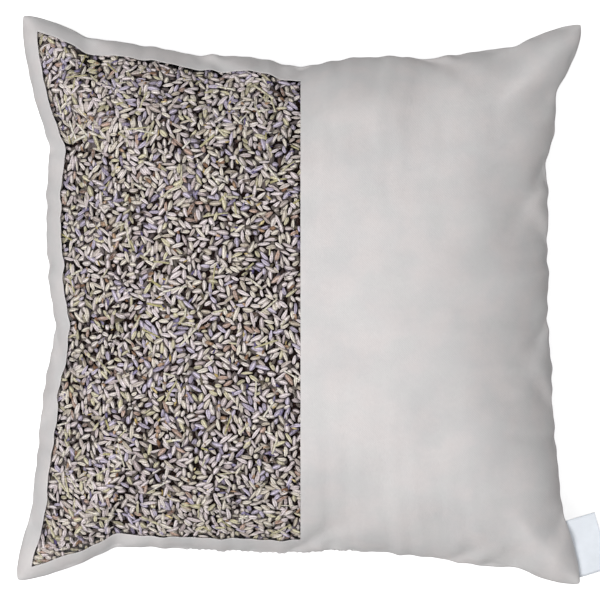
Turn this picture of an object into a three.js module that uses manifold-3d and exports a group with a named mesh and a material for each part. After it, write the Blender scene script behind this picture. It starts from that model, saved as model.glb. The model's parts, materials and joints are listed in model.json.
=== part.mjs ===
// A lavender sachet: a square, plump cushion of pale grey cotton that lies on its back.
// The left half of its front is a window of fine net, and the dried buds show through it.
// It is put together as it is sewn: a front and a back panel turned in at a seam, the net
// and a stay tape under the front panel, overlock thread round the seam allowances, a row
// of closing stitches, a folded side label, and the filling inside.
// Millimetres. +Z points out of the front face and +Y to the sachet's top edge, and the
// origin is the middle of the flat patch that it rests on.
import * as THREE from "three";
import Module from "manifold-3d";
import { mergeVertices } from "three/addons/utils/BufferGeometryUtils.js";

const wasm = await Module();
wasm.setup();

// The filled cover
const coverWidth = 280;
const coverHeight = 280;
const frontRise = 56;
const seamHeight = 38;
const backDepth = 46;
const cornerDroop = 8;

// The layers of cloth, each a gap under the one above
const clothThickness = 0.6;
const netThickness = 0.5;
const tapeThickness = 0.5;
const layerGap = 0.3;
const fillGap = 0.4;

// The seam: both allowances are turned in and overlocked together
const seamGap = 0.3;
const tipRounding = 0.8;
const creaseInset = 1.2;
const allowanceWidth = 6;
const allowanceRounding = 5;
const overlockThickness = 0.4;
const overlockReach = 2;

// The window, its net and the tape behind its straight edge
const windowMargin = 7.2;
const windowEdgeX = 0;
const netOverlap = 13;
const netInset = 2;
const tapeInset = 4.5;
const tapeSetback = 1.5;
const tapeWidth = 10;
const underRounding = 4;

// The filling's edge, behind the overlock
const fillClearance = 1;

// The side label, a ribbon folded in two
const labelWidth = 30;
const labelLength = 15;
const labelTailLength = 5;
const labelCornerGap = 1;
const ribbonThickness = 0.2;
const ribbonGap = 0.3;
const hingeGap = 0.3;
const foldSegments = 4;
const pocketClearance = 0.25;

// The closing stitches
const threadDiameter = 0.5;
const stitchPitch = 6;
const stitchReach = 0.5;
const threadSides = 6;
const closingLength = 84;
const closingCentreShare = 0.45;

// The dents that run in from the puckers, and the seam's bulge between two puckers
const dentDepth = 4.5;
const dentReach = 18;
const dentWidth = 16;
const bulgeShare = 0.036;

// The corners of the cover, as shares of its width and height
const topLeftShare = [-0.491, 0.5036];
const topRightShare = [0.5, 0.4875];
const bottomRightShare = [0.4964, -0.5036];
const bottomLeftShare = [-0.5, -0.4964];

// The puckers of each side: how far along it, and how far the seam is drawn in there.
// Top and bottom run from left to right, and the two others from top to bottom.
const topPuckerShares = [[0.12, 0.036], [0.317, 0.0625], [0.496, 0.083], [0.719, 0.0635], [0.875, 0.04]];
const bottomPuckerShares = [[0.18, 0.057], [0.485, 0.0507], [0.567, 0.055], [0.76, 0.037], [0.883, 0.0275]];
const leftPuckerShares = [[0.236, 0.046], [0.558, 0.0607], [0.72, 0.037], [0.88, 0.0198]];
const rightPuckerShares = [
  [0.128, 0.043], [0.254, 0.06], [0.387, 0.057], [0.528, 0.0577], [0.676, 0.047], [0.87, 0.0255],
];

// The crown's profile, and how evenly the faces are divided
const frontPower = 0.6;
const backPower = 0.5;
const profilePower = 2.3;
const droopPower = 3;
const roundingPower = 4;
const gridSteps = 18;
const gridInset = 9;
const gridRounding = 6;
const edgeInset = 3.5;
const edgeRounding = 3;
const overrun = 20;

const { lerp, clamp } = THREE.MathUtils;

// How far a side is drawn in at a share along it, as a share of the cover's size
function drawIn(puckers, along) {
  const stops = [[0, 0], ...puckers, [1, 0]];
  const next = Math.max(1, stops.findIndex(([place]) => place >= clamp(along, 0, 1)));
  const [startPlace, startInset] = stops[next - 1];
  const [endPlace, endInset] = stops[next];
  const span = endPlace - startPlace;
  const t = (along - startPlace) / span;
  return lerp(startInset, endInset, t) - bulgeShare * span * 4 * t * (1 - t);
}

// A point of a side in plan. inward is the direction in which it is drawn in.
function sidePoint(fromShare, toShare, puckers, inward, along) {
  const inset = drawIn(puckers, along);
  return new THREE.Vector2(
    coverWidth * (lerp(fromShare[0], toShare[0], along) + inward[0] * inset),
    coverHeight * (lerp(fromShare[1], toShare[1], along) + inward[1] * inset),
  );
}
const topPoint = (u) => sidePoint(topLeftShare, topRightShare, topPuckerShares, [0, -1], u);
const bottomPoint = (u) => sidePoint(bottomLeftShare, bottomRightShare, bottomPuckerShares, [0, 1], u);
const leftPoint = (v) => sidePoint(topLeftShare, bottomLeftShare, leftPuckerShares, [1, 0], 1 - v);
const rightPoint = (v) => sidePoint(topRightShare, bottomRightShare, rightPuckerShares, [-1, 0], 1 - v);

// The cushion in plan, spread between its four sides. u runs from left to right and v
// from bottom to top, both from 0 to 1.
function planPoint(u, v) {
  const across = leftPoint(v).lerp(rightPoint(v), u);
  const upwards = bottomPoint(u).lerp(topPoint(u), v);
  const low = bottomPoint(0).lerp(bottomPoint(1), u);
  const high = topPoint(0).lerp(topPoint(1), u);
  return across.add(upwards).sub(low.lerp(high, v));
}

// The height of the seam, level but for its hanging corners
function seamLevel(u, v) {
  const corner = Math.abs((2 * u - 1) * (2 * v - 1));
  return seamHeight - cornerDroop * corner ** droopPower;
}

// The share of its full height that a face has at a place: 1 in the middle, 0 at the seam
function crown(u, v, power) {
  const across = 1 - Math.abs(2 * u - 1) ** profilePower;
  const upwards = 1 - Math.abs(2 * v - 1) ** profilePower;
  return Math.max(0, across * upwards) ** power;
}

// The depth of the dents at a place
function dents(u, v) {
  const sides = [
    [topPuckerShares, u, 1 - v, coverWidth, coverHeight],
    [bottomPuckerShares, u, v, coverWidth, coverHeight],
    [leftPuckerShares, 1 - v, u, coverHeight, coverWidth],
    [rightPuckerShares, 1 - v, 1 - u, coverHeight, coverWidth],
  ];
  let depth = 0;
  for (const [puckers, along, inward, sideLength, acrossLength] of sides) {
    const reach = (inward * acrossLength) / dentReach;
    for (const [place] of puckers) {
      const sideways = ((along - place) * sideLength) / dentWidth;
      depth = Math.hypot(depth, dentDepth * reach * Math.exp(1 - reach - sideways ** 2));
    }
  }
  return depth;
}

// The outer faces of the front panel and of the back panel, which rests at height 0
function frontFace(u, v) {
  const plan = planPoint(u, v);
  const rise = Math.max(0, frontRise * crown(u, v, frontPower) - dents(u, v));
  return new THREE.Vector3(plan.x, plan.y, seamLevel(u, v) + seamGap / 2 + rise);
}
function backFace(u, v) {
  const plan = planPoint(u, v);
  const fall = Math.max(0, backDepth * crown(u, v, backPower) - dents(u, v));
  return new THREE.Vector3(plan.x, plan.y, Math.max(0, seamLevel(u, v) - seamGap / 2 - fall));
}

// A face's point moved along the face's upward normal
function movedPoint(face, [u, v], distance) {
  const nearShare = 0.004;
  const alongU = face(u + nearShare, v).sub(face(u - nearShare, v));
  const alongV = face(u, v + nearShare).sub(face(u, v - nearShare));
  return face(u, v).addScaledVector(alongU.cross(alongV).normalize(), distance);
}

// The place of a grid point, -1 to 1 each way, on a square that is set in from the seam
// and rounded off in its corners
function insetPlace(a, b, inset, rounding) {
  const pull = 2 * (inset + rounding * Math.abs(a * b) ** roundingPower);
  return [(1 + a * (1 - pull / coverWidth)) / 2, (1 + b * (1 - pull / coverHeight)) / 2];
}

// The grid's stops along its four sides, anticlockwise from the lower left corner
function perimeter() {
  const stops = [];
  for (let k = 0; k < gridSteps; k++) stops.push([k, 0]);
  for (let k = 0; k < gridSteps; k++) stops.push([gridSteps, k]);
  for (let k = gridSteps; k > 0; k--) stops.push([k, gridSteps]);
  for (let k = gridSteps; k > 0; k--) stops.push([0, k]);
  return stops;
}
const gridPlace = (step) => (2 * step) / gridSteps - 1;

// A ring that follows the seam at an inset, lifted above the seam's level
function seamRing(inset, rounding, lift) {
  return perimeter().map(([i, j]) => {
    const [u, v] = insetPlace(gridPlace(i), gridPlace(j), inset, rounding);
    const plan = planPoint(u, v);
    return new THREE.Vector3(plan.x, plan.y, seamLevel(u, v) + lift);
  });
}

// A ring near the edge of a face
function faceRing(face, distance) {
  return perimeter().map(([i, j]) =>
    movedPoint(face, insetPlace(gridPlace(i), gridPlace(j), edgeInset, edgeRounding), distance),
  );
}

// The rows of points over a face. All layers share them, so that the layers nest.
function faceGrid(face, distance) {
  const rows = [];
  for (let j = 0; j <= gridSteps; j++) {
    const row = [];
    for (let i = 0; i <= gridSteps; i++) {
      row.push(movedPoint(face, insetPlace(gridPlace(i), gridPlace(j), gridInset, gridRounding), distance));
    }
    rows.push(row);
  }
  return rows;
}

// The triangles of a grid. Diagonals run outwards from the middle, as the folds do.
function gridCorners(rows, up) {
  const corners = [];
  for (let j = 0; j < gridSteps; j++) {
    for (let i = 0; i < gridSteps; i++) {
      const [a, b, c, d] = [rows[j][i], rows[j][i + 1], rows[j + 1][i + 1], rows[j + 1][i]];
      const rising = (i < gridSteps / 2) === (j < gridSteps / 2);
      const pair = rising ? [a, b, c, a, c, d] : [a, b, d, b, c, d];
      corners.push(...(up ? pair : pair.reverse()));
    }
  }
  return corners;
}

// The triangles of a band between two closed rings
function bandCorners(upper, lower) {
  return upper.flatMap((point, k) => {
    const next = (k + 1) % upper.length;
    return [point, lower[k], lower[next], point, lower[next], upper[next]];
  });
}

function geometryFrom(corners) {
  const geometry = new THREE.BufferGeometry();
  const numbers = corners.flatMap((point) => point.toArray());
  return geometry.setAttribute("position", new THREE.Float32BufferAttribute(numbers, 3));
}

// A solid between an upper and a lower grid, whose edge runs through the given rings
function layerSolid(upperRows, rings, lowerRows) {
  const rim = (rows) => perimeter().map(([i, j]) => rows[j][i]);
  const all = [rim(upperRows), ...rings, rim(lowerRows)];
  const bands = all.slice(1).flatMap((ring, k) => bandCorners(all[k], ring));
  return solidOf(geometryFrom([...gridCorners(upperRows, true), ...bands, ...gridCorners(lowerRows, false)]));
}

// Solids for joining and cutting, and back again
function solidOf(geometry) {
  const bare = geometry.clone();
  bare.deleteAttribute("normal");
  bare.deleteAttribute("uv");
  const merged = mergeVertices(bare);
  return new wasm.Manifold(
    new wasm.Mesh({
      numProp: 3,
      vertProperties: merged.attributes.position.array,
      triVerts: new Uint32Array(merged.index.array),
    }),
  );
}
function geometryOf(solid) {
  const { vertProperties, triVerts } = solid.getMesh();
  return new THREE.BufferGeometry()
    .setAttribute("position", new THREE.BufferAttribute(vertProperties, 3))
    .setIndex(new THREE.BufferAttribute(triVerts, 1))
    .toNonIndexed();
}

// An upright block through the whole sachet between two places across it
const fullHeight = seamHeight + frontRise + 2 * overrun;
function uprightBlock(fromX, toX) {
  const block = new THREE.BoxGeometry(toX - fromX, coverHeight + 2 * overrun, fullHeight);
  return solidOf(block.translate((fromX + toX) / 2, 0, fullHeight / 2 - overrun));
}

// How far each part of the seam lies above or below the seam's level
const rimLift = seamGap / 2;
const flangeLift = rimLift + clothThickness;
const threadLift = flangeLift + layerGap;

// One panel with its allowance. side is 1 for the front and -1 for the back.
function panelRings(face, side) {
  return [
    faceRing(face, 0),
    seamRing(0, tipRounding, side * rimLift),
    seamRing(allowanceWidth, allowanceRounding, side * rimLift),
    seamRing(allowanceWidth, allowanceRounding, side * flangeLift),
    seamRing(creaseInset, underRounding, side * flangeLift),
    faceRing(face, -side * clothThickness),
  ];
}

// The window's opening as an upright prism: it follows the seam, but for its straight edge
function windowPrism() {
  const outline = seamRing(windowMargin, 0, 0).map((point) => new THREE.Vector2(point.x, point.y));
  const shape = new THREE.Shape(outline);
  const prism = new THREE.ExtrudeGeometry(shape, { depth: fullHeight, bevelEnabled: false });
  const leftHalf = uprightBlock(windowEdgeX - coverWidth, windowEdgeX);
  return solidOf(prism.translate(0, 0, -overrun)).intersect(leftHalf);
}

// A box that follows the right-hand seam between two shares along it, two insets and a lift
const seamBoxSteps = 4;
function seamBox(fromAlong, toAlong, nearInset, farInset, lift) {
  const point = (step, inset, height) => {
    const v = 1 - lerp(fromAlong, toAlong, step / seamBoxSteps);
    const u = 1 - inset / coverWidth;
    const plan = rightPoint(v);
    return new THREE.Vector3(plan.x - inset, plan.y, seamLevel(clamp(u, 0, 1), v) + height);
  };
  const section = (step) => [
    point(step, nearInset, -lift),
    point(step, nearInset, lift),
    point(step, farInset, lift),
    point(step, farInset, -lift),
  ];
  const corners = [];
  for (let step = 0; step < seamBoxSteps; step++) {
    corners.push(...bandCorners(section(step + 1), section(step)));
  }
  const [a, b, c, d] = section(0);
  const [e, f, g, h] = section(seamBoxSteps);
  corners.push(a, c, b, a, d, c, e, f, g, e, g, h);
  return solidOf(geometryFrom(corners));
}

// The label's place along the right-hand seam
const labelHalfShare = labelWidth / 2 / coverHeight;
const labelAlong = 1 - labelCornerGap / coverHeight - labelHalfShare;
const labelTailBox = (clearance, lift) =>
  seamBox(
    labelAlong - labelHalfShare - clearance / coverHeight,
    labelAlong + labelHalfShare + clearance / coverHeight,
    -clearance,
    labelTailLength + clearance,
    lift,
  );
const labelPocket = labelTailBox(pocketClearance, ribbonThickness + pocketClearance);

const frontSolid = layerSolid(
  faceGrid(frontFace, 0),
  panelRings(frontFace, 1),
  faceGrid(frontFace, -clothThickness),
).subtract(windowPrism()).subtract(labelPocket);
const backSolid = layerSolid(
  faceGrid(backFace, clothThickness),
  panelRings(backFace, -1).reverse(),
  faceGrid(backFace, 0),
).subtract(labelPocket);

// The net and the tape lie under the front panel, and their edges end at the seam's crease.
function underLayer(depth, thickness, inset, lift) {
  const rings = [seamRing(inset, underRounding, lift + thickness), seamRing(inset, underRounding, lift)];
  return layerSolid(faceGrid(frontFace, -depth), rings, faceGrid(frontFace, -depth - thickness));
}
const netDepth = clothThickness + layerGap;
const tapeDepth = netDepth + netThickness + layerGap;
const tapeLift = threadLift + netThickness + layerGap;
const netSolid = underLayer(netDepth, netThickness, netInset, threadLift).intersect(
  uprightBlock(windowEdgeX - coverWidth, windowEdgeX + netOverlap),
);
const tapeStart = windowEdgeX + tapeSetback;
const tapeSolid = underLayer(tapeDepth, tapeThickness, tapeInset, tapeLift).intersect(
  uprightBlock(tapeStart, tapeStart + tapeWidth),
);

// Overlock thread wraps the raw edges of both allowances.
function overlockRings() {
  const outerLift = threadLift + overlockThickness;
  const startInset = allowanceWidth - overlockReach;
  const innerInset = allowanceWidth + layerGap;
  const outerInset = innerInset + overlockThickness;
  const section = [
    [startInset, outerLift],
    [startInset, threadLift],
    [innerInset, threadLift],
    [innerInset, -threadLift],
    [startInset, -threadLift],
    [startInset, -outerLift],
    [outerInset, -outerLift],
    [outerInset, outerLift],
  ];
  return section.map(([inset, lift]) => seamRing(inset, allowanceRounding, lift));
}
function ringSolid(rings) {
  const bands = rings.flatMap((ring, k) => bandCorners(ring, rings[(k + 1) % rings.length]));
  return solidOf(geometryFrom(bands));
}

// The filling reaches from face to face, with a ridge that points at the overlock.
function fillSolid() {
  const fillDepth = tapeDepth + tapeThickness + fillGap;
  const fillInset = allowanceWidth + layerGap + overlockThickness + fillClearance;
  const ridge = seamRing(fillInset, allowanceRounding, 0);
  return layerSolid(
    faceGrid(frontFace, -fillDepth),
    [ridge],
    faceGrid(backFace, clothThickness + fillGap),
  );
}

// The closing stitches zigzag over the outside of the lower seam.
function closingStitches() {
  const clear = threadDiameter / 2 + layerGap;
  const halfSteps = 2 * Math.round(closingLength / stitchPitch);
  const lowerRim = seamRing(0, tipRounding, 0).slice(0, gridSteps + 1);
  const points = [];
  for (let step = 0; step <= halfSteps; step++) {
    const share = closingCentreShare + ((step / halfSteps - 1 / 2) * closingLength) / coverWidth;
    const along = gridSteps * share;
    const near = Math.floor(along);
    const point = lowerRim[near].clone().lerp(lowerRim[near + 1], along - near);
    point.y -= clear;
    point.z += step % 2 ? stitchReach : -stitchReach;
    points.push(point);
  }
  const section = new THREE.Shape();
  for (let side = 0; side < threadSides; side++) {
    const angle = (side / threadSides) * 2 * Math.PI;
    const [x, y] = [(Math.cos(angle) * threadDiameter) / 2, (Math.sin(angle) * threadDiameter) / 2];
    if (side) section.lineTo(x, y);
    else section.moveTo(x, y);
  }
  const path = new THREE.CatmullRomCurve3(points, false, "centripetal");
  return new THREE.ExtrudeGeometry(section, { steps: 2 * halfSteps, extrudePath: path });
}

// The ribbon's loop in section: x runs out from the hinge, y is up.
function labelFlap() {
  const outer = ribbonThickness + ribbonGap / 2;
  const inner = ribbonGap / 2;
  const foldX = labelLength - outer;
  const shape = new THREE.Shape();
  shape.moveTo(0, -outer);
  shape.lineTo(foldX, -outer);
  shape.absarc(foldX, 0, outer, -Math.PI / 2, Math.PI / 2);
  shape.lineTo(0, outer);
  shape.lineTo(0, inner);
  shape.lineTo(foldX, inner);
  shape.absarc(foldX, 0, inner, Math.PI / 2, -Math.PI / 2, true);
  shape.lineTo(0, -inner);
  shape.closePath();
  const settings = { depth: labelWidth, bevelEnabled: false, curveSegments: foldSegments };
  return new THREE.ExtrudeGeometry(shape, settings).translate(0, 0, -labelWidth / 2);
}

// The hinge line runs along the chord of the seam behind the label, clear of its bulge.
function labelGroup() {
  const seam = (step) => {
    const along = labelAlong + labelHalfShare * ((2 * step) / seamBoxSteps - 1);
    const plan = rightPoint(1 - along);
    return new THREE.Vector3(plan.x, plan.y, seamLevel(1, 1 - along));
  };
  const [upper, lower] = [seam(0), seam(seamBoxSteps)];
  const axis = upper.clone().sub(lower).normalize();
  const outward = new THREE.Vector3(axis.y, -axis.x, 0).normalize();
  const up = outward.clone().cross(axis);
  let bulge = 0;
  for (let step = 0; step <= seamBoxSteps; step++) {
    bulge = Math.max(bulge, seam(step).sub(upper).dot(outward));
  }
  const clear = bulge + ribbonThickness + ribbonGap / 2 + hingeGap;
  const group = new THREE.Group();
  group.position.copy(upper.lerp(lower, 1 / 2).addScaledVector(outward, clear));
  group.quaternion.setFromRotationMatrix(new THREE.Matrix4().makeBasis(outward, up, axis.negate()));
  return group;
}

// Finishes
const cotton = { color: 0xcdc9c8, roughness: 0.85, metalness: 0 };
const net = { color: 0xd8d5d2, roughness: 0.9, metalness: 0 };
const thread = { color: 0xc4c0bf, roughness: 0.8, metalness: 0 };
const ribbon = { color: 0xeef1f5, roughness: 0.45, metalness: 0 };
const buds = { color: 0x8d8480, roughness: 0.95, metalness: 0 };

function piece(name, geometry, finish) {
  const mesh = new THREE.Mesh(geometry, new THREE.MeshStandardMaterial(finish));
  mesh.name = name;
  return mesh;
}

const label = labelGroup();
label.add(piece("label_flap", labelFlap(), ribbon));

const sachet = new THREE.Group();
sachet.add(
  piece("front_panel", geometryOf(frontSolid), cotton),
  piece("back_panel", geometryOf(backSolid), cotton),
  piece("window_net", geometryOf(netSolid), net),
  piece("window_tape", geometryOf(tapeSolid), cotton),
  piece("seam_overlock", geometryOf(ringSolid(overlockRings())), thread),
  piece("closing_stitches", closingStitches(), thread),
  piece("lavender_filling", geometryOf(fillSolid()), buds),
  piece("label_tail", geometryOf(labelTailBox(0, ribbonThickness)), ribbon),
  label,
);

export default sachet;
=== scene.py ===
"""The looks of a lavender sachet, built around its solids.

A plump square cushion of pale grey cotton lies on its back. The left half of its front is
a window of fine net with dried lavender buds behind it. The two panels of the cover are
blown up by a cloth simulation between their sewn edges, and everything else is laid on or
under the faces that it gives. Lengths are in metres, and +Z points out of the front.
"""

import functools
import json
import math

import bpy
import numpy as np
from bpy.props import FloatProperty, FloatVectorProperty, IntProperty, PointerProperty
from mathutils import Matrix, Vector


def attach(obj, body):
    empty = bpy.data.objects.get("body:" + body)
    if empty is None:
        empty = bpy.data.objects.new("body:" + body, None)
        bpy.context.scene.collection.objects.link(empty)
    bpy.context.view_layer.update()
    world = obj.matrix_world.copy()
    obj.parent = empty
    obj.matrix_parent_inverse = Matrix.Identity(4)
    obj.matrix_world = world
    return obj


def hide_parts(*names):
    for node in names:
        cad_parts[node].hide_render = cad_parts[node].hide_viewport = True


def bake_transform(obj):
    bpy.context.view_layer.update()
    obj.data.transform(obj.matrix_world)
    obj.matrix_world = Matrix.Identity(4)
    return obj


bl_info = {
    "name": "Lavender Sachet",
    "version": (1, 0, 0),
    "blender": (4, 5, 0),
    "location": "View3D > Sidebar > Sachet",
    "description": "Builds the cover, window, buds, seam and label of a lavender sachet",
    "category": "Add Mesh",
}

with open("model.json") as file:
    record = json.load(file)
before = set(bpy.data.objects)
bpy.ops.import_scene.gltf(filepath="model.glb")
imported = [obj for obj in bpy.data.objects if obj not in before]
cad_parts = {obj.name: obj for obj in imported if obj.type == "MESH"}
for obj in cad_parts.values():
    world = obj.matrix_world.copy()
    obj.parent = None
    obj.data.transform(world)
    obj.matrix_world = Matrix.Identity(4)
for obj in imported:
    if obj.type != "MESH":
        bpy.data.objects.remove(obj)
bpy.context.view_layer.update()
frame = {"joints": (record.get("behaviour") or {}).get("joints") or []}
MM = 0.001
TINY = 1e-12


def length_property(name, description, default):
    """A length that a user can change."""
    return FloatProperty(name=name, description=description, default=default, unit="LENGTH")


def colour_property(name, description, default):
    """A colour that a user can change."""
    return FloatVectorProperty(name=name, description=description, default=default, subtype="COLOR")


class CoverSizes(bpy.types.PropertyGroup):
    """The filled cover's sizes and colours."""

    width: length_property("Width", "From corner to corner, filled", 0.28)
    height: length_property("Height", "From corner to corner, filled", 0.28)
    flat: length_property("Flat side", "Each side of a panel before filling", 0.292)
    front_rise: length_property("Front rise", "Over the seam, before it swells", 0.055)
    seam_height: length_property("Seam height", "The seam's height over the floor", 0.038)
    back_depth: length_property("Back depth", "Under the seam, before it swells", 0.0455)
    corner_droop: length_property("Corner droop", "How far the corners hang", 0.008)
    cloth: length_property("Cloth", "Thickness of the cotton", 0.0006)
    allowance: length_property("Seam allowance", "Cloth turned in at the seam", 0.006)
    light_tone: colour_property("Cotton", "The cotton's own colour", (0.714, 0.686, 0.681))
    dull_tone: colour_property("Mottling", "Its duller patches", (0.647, 0.632, 0.633))
    rosy_tone: colour_property("Rosy patches", "Where it is warmer", (0.724, 0.677, 0.668))
    cool_tone: colour_property("Cool patches", "Where it is cooler", (0.652, 0.656, 0.649))


class WindowSizes(bpy.types.PropertyGroup):
    """The window in the front panel, with its net and stay tape."""

    side_margin: length_property("Side margin", "From the seam to the window", 0.0084)
    lower_margin: length_property("Lower margin", "From the lower seam to the window", 0.007)
    net_pitch: length_property("Net pitch", "Between two threads of the net", 0.0012)
    net_thread: length_property("Net thread", "Thickness of a thread", 0.00003)
    net_overlap: length_property("Net overlap", "Net behind the straight edge", 0.013)
    tape_width: length_property("Tape width", "The stay tape's width", 0.01)
    net_tone: colour_property("Net", "The net's colour", (0.05, 0.045, 0.05))


class FillingSizes(bpy.types.PropertyGroup):
    """The dried lavender behind the net."""

    bud_length: length_property("Bud length", "A bud's usual length", 0.0050)
    bud_width: length_property("Bud width", "A bud's usual width", 0.00188)
    stalk_count: IntProperty(
        name="Stalks", description="Broken stalks among the buds", default=130, min=0
    )
    husk_count: IntProperty(
        name="Husks", description="Split pale husks among the buds", default=800, min=0
    )
    flake_count: IntProperty(
        name="Flakes", description="Leaf and petal flakes among the buds", default=300, min=0
    )
    seed: IntProperty(name="Seed", description="Another number lays the buds anew", default=11, min=0)


class LabelSizes(bpy.types.PropertyGroup):
    """The folded ribbon that is sewn into the right-hand seam."""

    width: length_property("Width", "Along the seam", 0.03)
    length: length_property("Length", "Out from the seam, folded", 0.0147)
    tail: length_property("Tail", "Inside the seam", 0.005)
    ribbon: length_property("Ribbon", "Thickness of the satin", 0.0002)
    tone: colour_property("Satin", "The satin's colour", (0.85, 0.895, 0.955))


class StageSizes(bpy.types.PropertyGroup):
    """The camera, the lights and the floor."""

    camera_height: length_property("Camera height", "Over the seam", 1.3)
    framed: length_property("Framed width", "What the picture spans at the seam", 0.3)
    key: FloatProperty(name="Key light", description="Its power", default=11.15, unit="POWER")
    fill: FloatProperty(name="Fill light", description="The room's own light", default=0.345, min=0)


# The corners of the cover, as shares of its width and height
TOP_LEFT_SHARE = (-0.5015, 0.5155)
TOP_RIGHT_SHARE = (0.510, 0.5005)
BOTTOM_RIGHT_SHARE = (0.506, -0.5128)
BOTTOM_LEFT_SHARE = (-0.512, -0.508)

# The puckers of each side: how far along it, how far the seam is drawn in there, and how far
# the seam swells out on the way there. Each side ends with its second corner.
# Top and bottom run from left to right, and the two others from top to bottom.
TOP_PUCKER_SHARES = (
    (0.12, 0.0446, 0.053), (0.317, 0.0746, 0.013), (0.496, 0.0939, 0.047), (0.719, 0.0748, 0.052),
    (0.875, 0.049, 0.007), (1.0, 0.0, 0.047),
)
BOTTOM_PUCKER_SHARES = (
    (0.18, 0.0679, 0.044), (0.485, 0.0591, -0.003), (0.567, 0.0648, -0.003), (0.76, 0.0477, -0.012),
    (0.883, 0.035, 0.041), (1.0, 0.0, 0.065),
)
LEFT_PUCKER_SHARES = (
    (0.236, 0.0576, 0.039), (0.558, 0.0721, 0.035), (0.72, 0.045, 0.023), (0.88, 0.0283, -0.005),
    (1.0, 0.0, 0.038),
)
RIGHT_PUCKER_SHARES = (
    (0.128, 0.0531, 0.073), (0.254, 0.0712, 0.066), (0.387, 0.068, 0.032), (0.528, 0.0673, 0.02),
    (0.676, 0.0567, 0.019), (0.87, 0.036, -0.005), (1.0, 0.0, 0.036),
)

# Each side of the seam: its first and second corner, its puckers, which way is inward, and
# the seed of its ripples
SEAM_SIDES = {
    "top": (TOP_LEFT_SHARE, TOP_RIGHT_SHARE, TOP_PUCKER_SHARES, (0, -1), 31),
    "bottom": (BOTTOM_LEFT_SHARE, BOTTOM_RIGHT_SHARE, BOTTOM_PUCKER_SHARES, (0, 1), 32),
    "left": (TOP_LEFT_SHARE, BOTTOM_LEFT_SHARE, LEFT_PUCKER_SHARES, (1, 0), 33),
    "right": (TOP_RIGHT_SHARE, BOTTOM_RIGHT_SHARE, RIGHT_PUCKER_SHARES, (-1, 0), 34),
}

# The seam's ripples, and how its kinks at the puckers are rounded off: over which share of a
# side, and how much each reading near a kink counts
RIPPLE_DEPTH = 0.38 * MM
RIPPLE_LENGTHS = (9.7 * MM, 14.3 * MM, 23.1 * MM)
KINK_SHARE = 0.012
KINK_WEIGHTS = ((-1.0, 1 / 9), (-0.5, 2 / 9), (0.0, 3 / 9), (0.5, 2 / 9), (1.0, 1 / 9))

# The crown of each face: how steeply it leaves the seam, and how full its corners are
FRONT_POWER = 0.6
BACK_POWER = 0.5
PROFILE_POWER = 2.3
CORNER_POWER = 3
CORNER_FULLNESS = 0.55
CROWNS = {1: (FRONT_POWER, CORNER_FULLNESS), -1: (BACK_POWER, 0.0)}

# How near to the corners the seam droops, how far the faces stand apart at it, and how softly
# the back comes to rest on the floor
DROOP_POWER = 3
LIP_HEIGHT = 1 * MM
REST_SOFTNESS = 1 * MM

# The dents and creases that run in from the puckers. Each crease leans to one side.
DENT_DEPTH = 2.2 * MM
DENT_REACH = 11 * MM
DENT_WIDTH = 13 * MM
CREASE_DEPTH = 1.5 * MM
CREASE_REACH = 12 * MM
CREASE_WIDTH = 3.5 * MM
CREASE_SPREAD = 0.3
CREASE_LEANS = (0.5, 0.9, -0.4, 0.7, -0.6)

# The gathers along the seam and the soft lumps of the filling
GATHER_DEPTH = 0.5 * MM
GATHER_REACH = 9 * MM
GATHER_START = 3 * MM
GATHER_LENGTHS = (13.3 * MM, 19.7 * MM, 31.9 * MM)
GATHER_SEED = 20
LUMP_DEPTH = 0.35 * MM
LUMP_SIZE = 34 * MM
LUMP_SEED = 5
LUMP_WAVES = 9
LUMP_SPREAD = (0.75, 1.5)

# How a place near the seam is set in: the corners of each ring are rounded, their tips more
ROUNDING_POWER = 4
TIP_ROUNDING = 1.7 * MM
TIP_POWER = 26

# How finely the shape is read. A slope is read over a share between the two steps.
TABLE_STEPS = 800
SHARE_ROUNDS = 4
HALVINGS = 26
SLOPE_STEPS = (1e-5, 2e-3)

# The simulation: a light cotton that hardly stretches, blown up between its pinned edges.
# No point moves further than MOST_MOVEMENT, and the movement is smoothed.
FLAT_STEPS = 84
INFLATE_FRAMES = 22
CLOTH_SETTINGS = {
    "quality": 6,
    "mass": 0.002,
    "tension_stiffness": 18,
    "compression_stiffness": 18,
    "shear_stiffness": 12,
    "bending_stiffness": 1.2,
    "use_pressure": True,
    "uniform_pressure_force": 32.0,
    "vertex_group_mass": "seam",
    "shrink_min": -0.006,
}
MOST_MOVEMENT = 9 * MM
SMOOTHINGS = 5


def softened(puckers, along):
    """How far a side is drawn in, as a share of the cover's size, with its kinks rounded off."""
    places, depths, swells = np.array(((0.0, 0.0, 0.0), *puckers)).T
    room = np.minimum(1, np.minimum(along, 1 - along) / KINK_SHARE)
    total = np.zeros_like(along)
    for offset, weight in KINK_WEIGHTS:
        at = along + offset * KINK_SHARE * room
        after = np.clip(np.searchsorted(places, at), 1, len(places) - 1)
        span = places[after] - places[after - 1]
        t = (at - places[after - 1]) / span
        total += weight * (np.interp(at, places, depths) - swells[after] * span * 4 * t * (1 - t))
    return total


def waves(along, lengths, seed):
    """An uneven wave of about unit height, mixed from a few lengths."""
    rng = np.random.default_rng(seed)
    phases = rng.uniform(0, 2 * math.pi, len(lengths))
    parts = [np.sin(2 * math.pi * along / length + phase) for length, phase in zip(lengths, phases)]
    return sum(parts) / math.sqrt(len(lengths))


def lumps(x, y, size, seed):
    """Soft uneven lumps of about unit height and a given size over a plane."""
    rng = np.random.default_rng(seed)
    total = np.zeros_like(x)
    for _ in range(LUMP_WAVES):
        angle, phase = rng.uniform(0, 2 * math.pi, 2)
        number = 2 * math.pi / (size * rng.uniform(*LUMP_SPREAD))
        total += np.sin(number * (x * math.cos(angle) + y * math.sin(angle)) + phase)
    return total / math.sqrt(LUMP_WAVES)


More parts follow.
